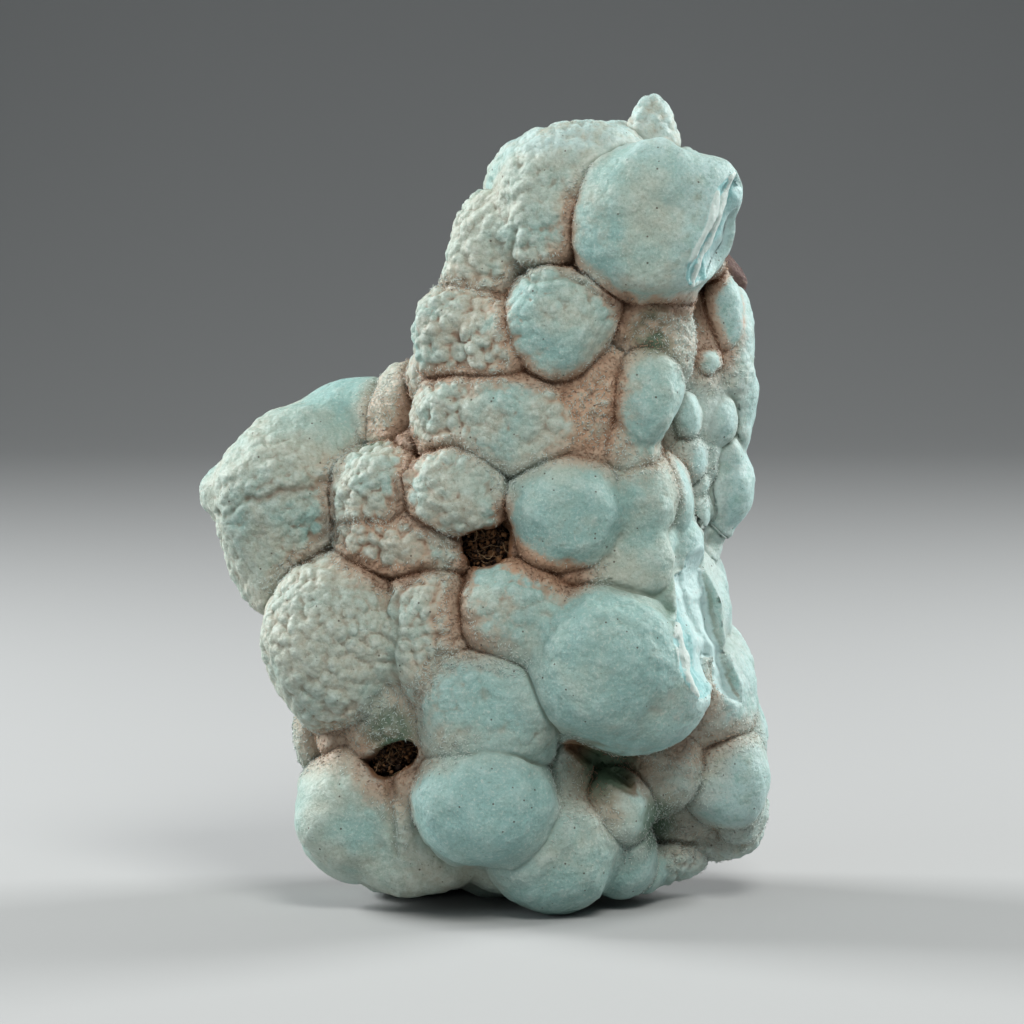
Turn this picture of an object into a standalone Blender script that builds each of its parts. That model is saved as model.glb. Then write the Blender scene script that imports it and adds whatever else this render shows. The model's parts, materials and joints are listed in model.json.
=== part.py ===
"""Blue aragonite: a lumpy, grape-like crust grown on a slab of brown host rock, with earth in its two pits.

Run with blender --background --python part.py, or from Blender's text editor.
The frame: +X to the viewer's right, +Y away from the viewer, +Z up, metres. The origin is under the middle
of the specimen, on the surface that it stands on.
"""

import math
from collections import namedtuple

import bmesh
import bpy
from mathutils import Matrix, Vector

MM = 0.001

# Driving dimensions.
GAP = 0.3 * MM  # left between touching pieces
FUSE_CELL = 0.65 * MM  # cell of the fuse that joins the lumps
CRUST_KEEP = 0.035  # share of the fused crust's faces that is kept
CONTACT_Y = 11.0 * MM  # where the crust ends and the host rock begins
CONTACT_NORMAL = Vector((0.05, 1.0, -0.04)).normalized()
CUTTER_REACH = 200.0 * MM  # long enough to cut past the whole specimen
FINE_BALL = 3  # how often a ball's faces are split
COARSE_BALL = 2  # and those of a small lump or a pit
SMALL_LUMP = 3  # millimetres, the half size up to which a lump is small
EARTH_CLEAR = 1.5 * GAP  # left between the earth and its pit's wall

# A lump of the crust, in millimetres: its middle across (x) and up (z), how far forward its face stands
# (y, smaller is nearer the viewer), its half sizes across, deep and tall, its lean to the right in degrees,
# and how flat its face is: 2 is a plain ellipsoid, more is flatter with steeper sides.
Lump = namedtuple("Lump", "name x face z wide deep tall lean flat", defaults=(0, 2.5))

CORES = (
    Lump("core_top", 15.5, -17, 95, 15, 19, 18.5),
    Lump("core_middle", 10.5, -19.5, 72, 16, 19, 21),
    Lump("core_waist", 13, -20.5, 53, 15.5, 20, 13),
    Lump("core_flank", 24, -7.5, 74, 13.5, 15.5, 24),
    Lump("core_boss", 15, -23, 36.5, 15, 22, 15),
    Lump("core_chest", -4, -19.5, 34, 20, 20, 22),
    Lump("core_belly", 0, -21.5, 17.5, 15, 20, 12),
    Lump("core_low", 3, -15, 31, 30, 18, 27),
    Lump("core_foot", 0, -14, 13, 25.5, 17, 11.5),
    Lump("core_cheek", -19, -15, 38, 12, 16, 15),
    Lump("core_arm", -24, -3, 61, 15, 12, 11),
    Lump("core_side", 25.5, -20, 42, 11.5, 26, 12),
    Lump("core_heel", 31, -4, 14.5, 10.5, 10, 8.5),
)

COLUMN = (
    Lump("crown", 12, -19, 106.5, 10.8, 9.5, 10.8),
    Lump("crown_right", 17, -16, 110.2, 7.5, 8, 7.8),
    Lump("crown_left", 3, -15.5, 99.5, 7.8, 8, 7.8),
    Lump("crown_foot", 1, -14.5, 94.5, 7.2, 7, 7.2),
    Lump("knuckle", 9, -19, 101, 5.9, 5, 5.9),
    Lump("head", 25, -25, 102.8, 12, 8, 12.4, 0, 3.4),
    Lump("head_corner", 32.5, -22.5, 107.6, 6, 7, 5.5),
    Lump("head_back", 28, -20, 102, 9.5, 15, 10.5),
    Lump("spike_tip", 25, -1.5, 119.3, 1.4, 1.6, 1.7),
    Lump("spike", 25, -2.5, 117.5, 2.6, 2.8, 2.8),
    Lump("spike_base", 25, -4, 115.3, 3.7, 4, 3.4),
    Lump("spike_root", 24.5, -5, 113, 5.2, 5.5, 3.9),
    Lump("nodes_left", -2.5, -17, 85.5, 8.4, 8, 8.4),
    Lump("nodes_middle", 2.5, -20, 84.5, 6.1, 5, 6.1),
    Lump("waist_ball", 11, -23, 88, 8.2, 6, 8.2),
    Lump("pebbled_left", -3, -18, 73.5, 7.7, 7, 7.7),
    Lump("pebbled_bridge", 2, -20.5, 73.3, 6, 5, 7),
    Lump("smooth_middle", 6.5, -22, 73, 7.6, 6, 7.5),
    Lump("eye", -3.5, -21.5, 63, 7.2, 5.5, 7.1),
    Lump("pebbled_elbow", -15, -16, 62, 7, 7, 7),
    Lump("strap_left", -15.5, -16, 55, 5.4, 5.5, 4.9),
    Lump("strap_middle", -9.5, -18.5, 55, 6, 5.5, 5.5),
    Lump("strap_right", -5, -17.5, 53.5, 3.8, 4, 3.8),
    Lump("ball", 12, -25, 60, 8.3, 6.3, 8.2),
    Lump("column_edge", -8, -10, 79.4, 3.2, 7, 5),
    Lump("column_joint", -10, -10, 67.5, 3.4, 7, 4),
    Lump("valley", 16, -19.5, 76.5, 6, 7, 9.5),
    Lump("oval", 24, -21.5, 76.5, 5, 5.5, 6.9, 12),
    Lump("oval_low", 21.5, -19.5, 69.5, 4.4, 4.5, 4.4),
    Lump("side_ball", 23, -20.5, 61.5, 5, 5, 6.5),
    Lump("side_foot", 22, -20.5, 52.5, 5.9, 5, 5.9),
    Lump("rough_upper", 23, -18.5, 88.5, 5, 5, 5),
    Lump("rough_lower", 27, -17, 84.5, 4.6, 6, 6.5),
)

FLANK = (
    Lump("flank_oval", 36.5, -2, 88.5, 2.7, 4, 5.4),
    Lump("flank_wall", 37, 0, 83.5, 3.8, 7, 9),
    Lump("flank_bead", 33.5, -5.8, 81.5, 1.8, 2, 1.8),
    Lump("flank_rough", 35.5, -1.5, 79, 3.6, 3.6, 3.6),
    Lump("flank_edge_upper", 38.2, 1, 74, 3.3, 6, 6.6),
    Lump("flank_bean", 35, -4, 72, 2.8, 3.2, 3.3),
    Lump("flank_low", 36.5, -1, 66.5, 3, 3, 3),
    Lump("flank_inner_upper", 31, -9.5, 73.5, 1.9, 2.6, 3.3),
    Lump("flank_inner_lower", 31, -9, 67.5, 2.8, 3.2, 3.3),
    Lump("flank_pip_upper", 32, -6, 63, 1.8, 2, 1.8),
    Lump("flank_pip_lower", 32, -6.3, 59.5, 1.9, 2.4, 2.7),
    Lump("flank_edge_lower", 37, -1.5, 62, 4.2, 6, 6.5),
    Lump("ridge_upper", 28, -14, 62, 3, 4, 5),
    Lump("ridge_lower", 29.5, -12, 54, 3.3, 4, 4.5),
    Lump("ridge_inner", 26, -16.5, 52.5, 2.7, 4.6, 6.5),
    Lump("flank_tail", 33, 0, 53, 2.9, 6, 3.3),
    Lump("flank_slab", 33, -6, 43.5, 4.5, 6, 5.7),
    Lump("flank_back", 35, 1, 44.5, 3.2, 7, 6.8),
    Lump("flank_belly", 34, -12, 31.5, 7.6, 14, 8.8),
    Lump("flank_hip", 38, -2, 24.5, 5.2, 8, 5.8),
    Lump("right_ball", 36.5, -11, 19, 6.6, 6.5, 7.2),
    Lump("right_web", 26.5, -13, 21.5, 7.5, 7, 6.6),
)

BODY = (
    Lump("block", 4.5, -25, 45.3, 8.1, 6.5, 7.9),
    Lump("boss", 17.5, -30, 38, 11.1, 9, 11.1),
    Lump("boss_right", 22, -26.5, 35.5, 11.8, 10, 11.8, 12),
    Lump("chest", 1, -26, 30.5, 10.6, 8, 10.3),
    Lump("belly", 0, -29.5, 17.5, 10.6, 9, 9.1),
    Lump("rib", -7.5, -22.5, 41, 7.4, 7, 10.8),
    Lump("cheek", -21.5, -20.5, 40, 11, 11, 12.5),
    Lump("cheek_low", -23, -16, 36, 8.3, 8.2, 8),
    Lump("tuck_right", -19, -11, 25.5, 5.7, 5, 4.2),
    Lump("tuck_left", -26, -5.5, 24.8, 3.1, 5, 4.2),
    Lump("left_foot", -20, -17, 13.8, 8.6, 9, 10),
    Lump("foot_strip", -11, -18, 11.5, 5, 6, 6.8),
    Lump("foot_low", -10, -17, 6.7, 9.2, 7, 4.5),
    Lump("foot_middle", 2.5, -15, 7, 5.1, 6, 4.8),
    Lump("front_foot", 10.5, -23, 9.2, 9.2, 8.5, 9.4),
    Lump("notch_rib", 12.5, -18.5, 21.5, 3.3, 5, 5.9),
    Lump("notch_ball", 19, -18.5, 16, 5.2, 5.5, 5.2),
    Lump("toe", 20.5, -14, 7, 5.3, 7, 6),
    Lump("toe_right", 23.8, -9, 5, 3.2, 5, 3.8),
    Lump("heel_left", 27.5, -5.5, 6, 4.2, 6, 3.2),
    Lump("heel_bead", 31.5, -3, 6, 2, 3, 2),
    Lump("heel_right", 36.5, -3, 9.5, 5.7, 6, 4.1),
    Lump("heel_web", 38.3, -6, 13.5, 4.3, 7, 5),
)

SHOULDER = (
    Lump("shoulder", -30, -9, 60.3, 11.3, 12, 12.1),
    Lump("shoulder_tip", -38.9, -2, 60.7, 4.4, 6, 4.1),
    Lump("shoulder_crest", -27, -5, 67, 9.3, 11, 7.8),
    Lump("shoulder_top", -20, -1, 70.2, 9.4, 9, 8.3),
    Lump("shoulder_inner", -13, -2, 74.8, 3.9, 6, 5.6),
    Lump("shoulder_low", -29.8, -6.5, 52.5, 8.6, 9, 9.9),
    Lump("shoulder_toe", -28.5, 0, 45.5, 4.5, 6, 5.5),
    Lump("armpit", -13, -5.5, 72.5, 4.2, 5, 5.8),
)

# Lumps of the sides, top and underside, which finish the crust behind the ones that face the viewer.
RIM = (
    Lump("rim_crown", 8, -6, 107, 8, 9, 8),
    Lump("rim_top", 18, -6, 109.5, 8, 9, 7.5),
    Lump("rim_head", 29, -5, 104, 7.5, 9, 8),
    Lump("rim_column_upper", 2, -5, 97, 6.5, 9, 7.5),
    Lump("rim_column_middle", -1.5, -5, 87, 6.5, 9, 7.5),
    Lump("rim_column_lower", -5, -4, 76, 6.5, 9, 7),
    Lump("rim_arm", -25, 1, 66, 8.5, 9, 6),
    Lump("rim_arm_tip", -34, 3, 57.5, 6, 7, 6),
    Lump("rim_cheek", -25, -4, 42, 6, 10, 7),
    Lump("rim_tuck", -23, -2, 30, 5.2, 10, 6.5),
    Lump("rim_left_foot", -19.5, -4, 16, 7, 10, 7),
    Lump("rim_under_left", -13, -5, 6, 8, 9, 6.5),
    Lump("rim_under_middle", 1, -6, 6.5, 8, 9, 7),
    Lump("rim_under_right", 14, -5, 6.5, 8, 9, 7),
    Lump("rim_heel", 27, 0, 9, 7, 9, 6),
    Lump("rim_hip", 36, 2, 17, 5.5, 8, 6.5),
    Lump("rim_belly", 35, 3, 33, 6, 8, 8),
    Lump("rim_flank_lower", 32, 3, 52, 4, 7, 7),
    Lump("rim_flank_upper", 35.5, 4, 70, 4, 7, 8),
)

# Broken faces: a block is taken off at each, with its inner face on this point, square to this direction
# that points out of the specimen, and with these half sizes along the face, across it and outward.
Break = namedtuple("Break", "name point normal along across outward")

BREAKS = (
    Break("head_break", (34, -23, 101), (0.94, -0.15, -0.31), 9.5, 30, 9),
    Break("flank_break", (30, -20, 40.5), (0.9, -0.33, 0.28), 12, 36, 9),
)

# Deep pits between the lumps, in millimetres: the middle, the half sizes and the lean, and whether earth fills it.
Pit = namedtuple("Pit", "name x y z wide deep tall lean has_earth")

PITS = (
    Pit("upper", 0.8, -14, 54.5, 3.8, 8.5, 3.6, 40, True),
    Pit("lower", -12.8, -9.5, 24, 3.4, 9, 3.6, 30, True),
    Pit("crack", 18.5, -17, 20.8, 1.4, 7, 5.2, -50, False),
)
EARTH_SINK = 3.2  # millimetres from a pit's middle to the top of its earth, towards the back

# The host rock: the outline of its face against the crust, across and up in millimetres.
ROCK_OUTLINE = (
    (-16, 0), (-24, 14), (-24, 28), (-30, 44), (-36, 56), (-32, 66), (-20, 73), (-9, 77), (-4, 88), (2, 101),
    (10, 109), (22, 111), (32, 105), (37, 97.5), (41.5, 94), (41.8, 87), (36, 79), (36.5, 62), (32, 52), (37, 36),
    (38, 18), (31, 7), (21, 0),
)
# Where pieces were knocked off its back: a point of each broken face in millimetres, and its direction.
ROCK_CHIPS = (
    ((5, 28.1, 40), (0.05, 1, 0.08)),
    ((-12, 26.5, 30), (-0.5, 1, -0.15)),
    ((24, 26, 28), (0.55, 1, -0.2)),
    ((5, 26, 9), (0.1, 1, -0.65)),
    ((14, 26, 76), (0.12, 1, 0.3)),
    ((-22, 20, 60), (-0.5, 1, 0.45)),
    ((33.5, 22, 82), (0.8, 1, 0.25)),
    ((2, 22, 94), (-0.65, 1, 0.3)),
    ((16, 21, 106), (0.1, 1, 1)),
    ((36.5, 20, 50), (1, 0.75, 0)),
    ((-26, 19, 22), (-1, 0.75, -0.2)),
    ((35, 18, 12), (0.9, 0.8, -0.6)),
)
ROCK_START = CONTACT_Y - 6 * MM  # its slab starts in front of the crust's end, and is cut back to it
ROCK_DEPTH = 30 * MM
ROCK_CELL = 1.2 * MM  # cell of its even faces
ROCK_KEEP = 0.085  # share of those faces that is kept
ROCK_ROUGH = 2.2 * MM  # height of the unevenness of its broken faces
ROCK_GRAIN = 9.0 * MM  # and its width
ROCK_DETAIL = 2  # how often that unevenness repeats at half the width


def clear_scene():
    """Empties the scene that Blender starts with."""
    for old in list(bpy.data.objects):
        bpy.data.objects.remove(old)


def make_material(name, colour, roughness):
    """A plain Principled material."""
    material = bpy.data.materials.new(name)
    material.use_nodes = True
    shader = material.node_tree.nodes["Principled BSDF"]
    shader.inputs["Base Color"].default_value = (*colour, 1.0)
    shader.inputs["Roughness"].default_value = roughness
    shader.inputs["Metallic"].default_value = 0.0
    return material


def object_from(bm, name, material=None):
    """Turns a bmesh into a scene object."""
    mesh = bpy.data.meshes.new(name)
    bm.to_mesh(mesh)
    bm.free()
    made = bpy.data.objects.new(name, mesh)
    bpy.context.scene.collection.objects.link(made)
    if material:
        mesh.materials.append(material)
    return made


def make_cutter(bm, name):
    """Turns a bmesh into a helper that cuts and isn't part of the specimen."""
    cutter = object_from(bm, name)
    cutter.hide_render = True
    cutter.display_type = "WIRE"
    return cutter


def lump_matrix(lump):
    """Places a unit ball as the lump: stretched to its half sizes, leant, and set behind its face."""
    middle = Vector((lump.x, lump.face + lump.deep, lump.z)) * MM
    lean = Matrix.Rotation(math.radians(lump.lean), 4, "Y")
    stretch = Matrix.Diagonal((lump.wide * MM, lump.deep * MM, lump.tall * MM, 1.0))
    return Matrix.Translation(middle) @ lean @ stretch


def cushion(out, flat):
    """Moves a point of the unit ball out so that the ball's face is flatter and its sides are steeper."""
    across = math.hypot(out.x, out.z)
    return out / (across**flat + abs(out.y) ** flat) ** (1 / flat)


def square_to(normal):
    """A rotation that turns +Z to point along a direction."""
    return Vector(normal).to_track_quat("Z", "Y").to_matrix().to_4x4()


def break_cutter(spot):
    """The block that a broken face takes off."""
    half = Vector((spot.across, spot.along, spot.outward)) * MM
    bm = bmesh.new()
    place = Matrix.Translation(Vector(spot.point) * MM) @ square_to(spot.normal)
    lift = Matrix.Translation((0, 0, half.z))
    bmesh.ops.create_cube(bm, size=2.0, matrix=place @ lift @ Matrix.Diagonal((*half, 1.0)))
    return make_cutter(bm, spot.name)


def pit_matrix(pit, trim=0.0):
    """Places a unit ball as the hollow of a pit, or as its fill when it is trimmed smaller all round."""
    half = [size * MM - trim for size in (pit.wide, pit.deep, pit.tall)]
    lean = Matrix.Rotation(math.radians(pit.lean), 4, "Y")
    return Matrix.Translation(Vector((pit.x, pit.y, pit.z)) * MM) @ lean @ Matrix.Diagonal((*half, 1.0))


def pit_cutter(pit):
    """The hollow of a pit, open to the front."""
    bm = bmesh.new()
    bmesh.ops.create_icosphere(bm, subdivisions=COARSE_BALL, radius=1.0, matrix=pit_matrix(pit))
    return make_cutter(bm, f"{pit.name}_pit")


def slab_cutter(name, point, normal):
    """A very large block whose inner face lies on a point, square to a direction."""
    bm = bmesh.new()
    place = Matrix.Translation(point) @ square_to(normal)
    lift = Matrix.Translation((0, 0, CUTTER_REACH))
    bmesh.ops.create_cube(bm, size=2 * CUTTER_REACH, matrix=place @ lift)
    return make_cutter(bm, name)


def cut(target, cutter):
    """Takes a cutter out of an object."""
    modifier = target.modifiers.new(cutter.name, "BOOLEAN")
    modifier.operation = "DIFFERENCE"
    modifier.solver = "EXACT"
    modifier.object = cutter


def fuse(target, cell, keep):
    """Joins the overlapping balls or blocks of an object in one skin, then thins its faces."""
    remesh = target.modifiers.new("Fuse", "REMESH")
    remesh.mode = "VOXEL"
    remesh.voxel_size = cell
    thin = target.modifiers.new("Thin", "DECIMATE")
    thin.ratio = keep
    thin.use_collapse_triangulate = True


def make_crust(material):
    """The aragonite: all its lumps fused, then broken, pitted and ended at the host rock and the ground."""
    bm = bmesh.new()
    for lump in CORES + COLUMN + FLANK + BODY + SHOULDER + RIM:
        splits = FINE_BALL if max(lump.wide, lump.tall) > SMALL_LUMP else COARSE_BALL
        ball = bmesh.ops.create_icosphere(bm, subdivisions=splits, radius=1.0)
        place = lump_matrix(lump)
        for vertex in ball["verts"]:
            vertex.co = place @ cushion(vertex.co, lump.flat)
    crust = object_from(bm, "aragonite", material)
    fuse(crust, FUSE_CELL, CRUST_KEEP)
    for spot in BREAKS:
        cut(crust, break_cutter(spot))
    for pit in PITS:
        cut(crust, pit_cutter(pit))
    contact = Vector((0, CONTACT_Y, 0)) - CONTACT_NORMAL * GAP / 2
    cut(crust, slab_cutter("crust_contact", contact, CONTACT_NORMAL))
    cut(crust, slab_cutter("crust_ground", Vector((0, 0, 0)), Vector((0, 0, -1))))
    return crust


def make_host_rock(material):
    """The brown host rock at the back: a slab of the outline, chipped, roughened and ended at the crust."""
    bm = bmesh.new()
    front = [bm.verts.new((x * MM, ROCK_START, z * MM)) for x, z in ROCK_OUTLINE]
    rim = bm.faces.new(front)
    raised = bmesh.ops.extrude_face_region(bm, geom=[rim])
    back = [v for v in raised["geom"] if isinstance(v, bmesh.types.BMVert)]
    bmesh.ops.translate(bm, verts=back, vec=(0, ROCK_DEPTH, 0))
    bmesh.ops.recalc_face_normals(bm, faces=bm.faces)
    rock = object_from(bm, "host_rock", material)
    for number, (point, normal) in enumerate(ROCK_CHIPS):
        cut(rock, slab_cutter(f"rock_chip_{number}", Vector(point) * MM, normal))
    remesh = rock.modifiers.new("Even faces", "REMESH")
    remesh.mode = "VOXEL"
    remesh.voxel_size = ROCK_CELL
    texture = bpy.data.textures.new("rock_rough", "CLOUDS")
    texture.noise_scale = ROCK_GRAIN
    texture.noise_depth = ROCK_DETAIL
    rough = rock.modifiers.new("Rough", "DISPLACE")
    rough.texture = texture
    rough.strength = ROCK_ROUGH
    thin = rock.modifiers.new("Thin", "DECIMATE")
    thin.ratio = ROCK_KEEP
    contact = Vector((0, CONTACT_Y, 0)) + CONTACT_NORMAL * GAP / 2
    cut(rock, slab_cutter("rock_contact", contact, -CONTACT_NORMAL))
    cut(rock, slab_cutter("rock_ground", Vector((0, 0, 0)), Vector((0, 0, -1))))
    return rock


def make_earth(pit, material):
    """The brown earth packed in the bottom of a pit, a gap clear of the pit's wall."""
    bm = bmesh.new()
    bmesh.ops.create_icosphere(bm, subdivisions=COARSE_BALL, radius=1.0, matrix=pit_matrix(pit, EARTH_CLEAR))
    top = Vector((pit.x, pit.y + EARTH_SINK, pit.z)) * MM
    geometry = list(bm.verts) + list(bm.edges) + list(bm.faces)
    cutting = bmesh.ops.bisect_plane(bm, geom=geometry, plane_co=top, plane_no=(0, -1, 0), clear_outer=True)
    rim = [e for e in cutting["geom_cut"] if isinstance(e, bmesh.types.BMEdge)]
    bmesh.ops.contextual_create(bm, geom=rim)
    bmesh.ops.recalc_face_normals(bm, faces=bm.faces)
    return object_from(bm, f"{pit.name}_pit_earth", material)


def main():
    clear_scene()
    make_crust(make_material("aragonite", (0.48, 0.66, 0.64), 0.6))
    make_host_rock(make_material("host_rock", (0.16, 0.1, 0.075), 0.85))
    earth = make_material("earth", (0.13, 0.075, 0.04), 0.95)
    for pit in PITS:
        if pit.has_earth:
            make_earth(pit, earth)


main()
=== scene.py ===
# %% [markdown]
# # Blue aragonite
#
# A blue aragonite specimen is a crust of rounded lobes that grew outward from many points of a brown host
# rock. Where two lobes met they stopped, and left a crease. Fine beads cover some lobes, needle-like
# crystals line the creases and hollows, and iron in the water stained many creases brown.
#
# The plain solid of the specimen has its lobes, breaks and pits, but none of that fine surface. Modifiers
# could add it, but the solid's few thousand faces are too coarse for beads. So this script loads the solid
# as a fixed frame, works out finer surfaces from the same lumps, and gives each surface a finish.

import json
import math
from collections import namedtuple

import bpy
import numpy as np
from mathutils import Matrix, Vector

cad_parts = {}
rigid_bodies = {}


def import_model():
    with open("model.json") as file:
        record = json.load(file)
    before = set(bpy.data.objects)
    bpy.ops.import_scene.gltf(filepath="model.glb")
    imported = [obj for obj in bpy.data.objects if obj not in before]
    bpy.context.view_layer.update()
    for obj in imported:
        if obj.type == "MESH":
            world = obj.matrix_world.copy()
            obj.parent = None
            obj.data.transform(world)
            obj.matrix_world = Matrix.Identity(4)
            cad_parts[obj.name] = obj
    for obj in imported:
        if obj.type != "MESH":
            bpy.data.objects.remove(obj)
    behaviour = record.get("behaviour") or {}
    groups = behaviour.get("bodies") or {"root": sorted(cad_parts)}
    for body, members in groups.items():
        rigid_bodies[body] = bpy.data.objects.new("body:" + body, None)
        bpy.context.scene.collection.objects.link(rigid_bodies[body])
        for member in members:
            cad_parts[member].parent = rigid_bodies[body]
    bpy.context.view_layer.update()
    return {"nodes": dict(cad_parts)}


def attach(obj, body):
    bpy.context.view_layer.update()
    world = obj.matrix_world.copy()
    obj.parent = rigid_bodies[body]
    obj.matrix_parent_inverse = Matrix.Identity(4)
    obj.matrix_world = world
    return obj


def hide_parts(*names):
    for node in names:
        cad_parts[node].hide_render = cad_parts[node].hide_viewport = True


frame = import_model()
MM = 0.001

# %% [markdown]
# ## The camera
#
# A camera can be aimed by eye until the picture looks right. Here its place and lens follow from measures,
# so that a millimetre on the specimen can be counted in pixels. It stands 720 mm in front of the specimen
# and looks down on it by 5 degrees. One pixel of the picture covers 0.15 mm at the specimen, and that fixes
# the lens: distance times sensor width over the width in view.

# %% Place the camera
PICTURE = 1024  # pixels on each side
PIXEL = 0.15  # millimetres that one pixel covers at the specimen
DISTANCE = 720.0  # millimetres
LOOK_DOWN = math.radians(5.0)
TARGET = Vector((4.2, 0.0, 58.5))  # what shows in the middle of the picture
SENSOR = 36.0  # width in millimetres


def place_camera():
    """Aims a long lens at the middle of the specimen."""
    data = bpy.data.cameras.new("camera")
    data.sensor_width = SENSOR
    data.lens = DISTANCE * SENSOR / (PIXEL * PICTURE)
    data.clip_start = 0.01
    camera = bpy.data.objects.new("camera", data)
    bpy.context.scene.collection.objects.link(camera)
    back = Vector((0, -math.cos(LOOK_DOWN), math.sin(LOOK_DOWN)))
    camera.location = (TARGET + DISTANCE * back) * MM
    camera.rotation_euler = (math.pi / 2 - LOOK_DOWN, 0, 0)
    bpy.context.scene.camera = camera
    print("lens:", round(data.lens, 2), "mm")


place_camera()

# %% [markdown]
# ## Shader sums
#
# A finish is a graph of nodes. It could be drawn by hand in the Shader Editor, but as a plain list of nodes
# and links a large graph is hard to read. So materials are written as sums on sockets. The small class
# below wraps an output socket: each operator adds one Math node, so that `1 - mask * 0.5` reads as what it
# does.

# %% Wrap a socket
class Wire:
    """An output socket that can be used in sums."""

    def __init__(self, finish, socket):
        self.finish = finish
        self.socket = socket

    def math(self, operation, first, second=0.0, clamp=False):
        settings = {"operation": operation, "use_clamp": clamp}
        return self.finish.node("ShaderNodeMath", settings, {0: first, 1: second})

    def __add__(self, other):
        return self.math("ADD", self, other)

    def __sub__(self, other):
        return self.math("SUBTRACT", self, other)

    def __rsub__(self, other):
        return self.math("SUBTRACT", other, self)

    def __mul__(self, other):
        return self.math("MULTIPLY", self, other)

    __radd__ = __add__
    __rmul__ = __mul__

    def most(self, other):
        return self.math("MAXIMUM", self, other)

    def clamped(self):
        return self.math("ADD", self, 0.0, clamp=True)

    def between(self, low, high):
        """0 below low, 1 above high, and a smooth rise in between; low above high turns it round."""
        settings = {"interpolation_type": "SMOOTHSTEP"}
        return self.finish.node("ShaderNodeMapRange", settings, {0: self, 1: low, 2: high})

    def twin(self, name):
        """Another output of the same node."""
        return Wire(self.finish, self.socket.node.outputs[name])


print("sums on a socket:", [name for name in vars(Wire) if not name.startswith("__")])

# %% [markdown]
# ## One material
#
# A second class holds one material and makes its other nodes. Each kind of node could have its own few
# lines wherever it is used; one method that sets a node's own settings first, and then links or fills its
# inputs, does for all of them.

# %% Hold one material
class Finish:
    """One material and the nodes that feed its shader."""

    def __init__(self, name):
        self.material = bpy.data.materials.new(name)
        self.material.use_nodes = True
        self.tree = self.material.node_tree
        self.shader = self.tree.nodes["Principled BSDF"]

    def node(self, kind, settings, inputs, output=0):
        made = self.tree.nodes.new(kind)
        for name, value in settings.items():
            setattr(made, name, value)
        for name, value in inputs.items():
            self.feed(made.inputs[name], value)
        return Wire(self, made.outputs[output])

    def feed(self, socket, value):
        if isinstance(value, Wire):
            self.tree.links.new(value.socket, socket)
        elif isinstance(value, tuple) and len(value) == 3 and socket.type == "RGBA":
            socket.default_value = (*value, 1.0)
        else:
            socket.default_value = value

    def set(self, **values):
        """Sets or links the shader's own sockets; an underscore stands for a space."""
        for name, value in values.items():
            self.feed(self.shader.inputs[name.replace("_", " ")], value)

    def place(self):
        """The point on the piece, in millimetres."""
        point = self.node("ShaderNodeTexCoord", {}, {}, "Object")
        return self.node("ShaderNodeVectorMath", {"operation": "SCALE"}, {0: point, "Scale": 1 / MM})

    def attribute(self, name):
        return self.node("ShaderNodeAttribute", {"attribute_name": name}, {}, "Fac")

    def noise(self, place, size, detail=2.0, roughness=0.5, distortion=0.0):
        """Cloudy noise around 0.5, with features about as wide as size in millimetres."""
        values = {"Vector": place, "Scale": 1 / size, "Detail": detail, "Roughness": roughness}
        return self.node("ShaderNodeTexNoise", {}, {**values, "Distortion": distortion})

    def cells(self, place, size):
        """Scattered cells about as wide as size: the distance from each one's middle."""
        return self.node("ShaderNodeTexVoronoi", {}, {"Vector": place, "Scale": 1 / size}, "Distance")

    def blend(self, share, first, second):
        """The first colour where share is 0 and the second where it is 1.

        A Mix node takes its colours at inputs 6 and 7 and gives the blend at output 2.
        """
        return self.node("ShaderNodeMix", {"data_type": "RGBA"}, {0: share, 6: first, 7: second}, 2)

    def bump(self, height, distance, strength=1.0, below=None):
        """Tilts the surface's shading as if it rose by height times distance, in millimetres."""
        values = {"Height": height, "Distance": distance * MM, "Strength": strength}
        if below:
            values["Normal"] = below
        return self.node("ShaderNodeBump", {}, values)


print("nodes for a finish:", [name for name in vars(Finish) if not name.startswith("__")])

# %% [markdown]
# ## The floor
#
# The specimen stands on a plain pale floor that curves up into a backdrop, like a photographer's sheet of
# paper, so that no edge shows behind it. A bent plane with a bevelled corner would do; a side view of a few
# dozen points, carried straight across, needs no modifier.

# %% Make the floor
SWEEP_START = 0.9  # metres behind the specimen where the floor starts to rise
SWEEP_RADIUS = 0.8
SWEEP_STEPS = 24
FLOOR_HALF = 6.0  # metres to each side, and up
FLOOR_COLOUR = (0.33, 0.34, 0.34)


def sweep_profile(count):
    """The floor's side view: flat, then a quarter circle up, then straight up, as (y, z) rows."""
    turn = np.linspace(0, math.pi / 2, count)
    curve_y = SWEEP_START + SWEEP_RADIUS * np.sin(turn)
    curve_z = SWEEP_RADIUS * (1 - np.cos(turn))
    y = np.concatenate(((-FLOOR_HALF,), curve_y, (SWEEP_START + SWEEP_RADIUS,)))
    z = np.concatenate(((0.0,), curve_z, (FLOOR_HALF,)))
    return y, z


def make_floor():
    """The side view carried straight across, as a sheet of two columns."""
    y, z = sweep_profile(SWEEP_STEPS)
    rows = len(y)
    x = np.repeat((-FLOOR_HALF, FLOOR_HALF), rows)
    points = np.column_stack((x, np.tile(y, 2), np.tile(z, 2)))
    first = np.arange(rows - 1)
    faces = np.column_stack((first, first + rows, first + rows + 1, first + 1))
    mesh = bpy.data.meshes.new("floor")
    mesh.from_pydata(points.tolist(), [], faces.tolist())
    mesh.shade_smooth()
    floor = bpy.data.objects.new("floor", mesh)
    bpy.context.scene.collection.objects.link(floor)
    finish = Finish("pale_floor")
    finish.set(Base_Color=FLOOR_COLOUR, Roughness=0.75)
    mesh.materials.append(finish.material)
    print("floor faces:", len(faces))


make_floor()

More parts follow.
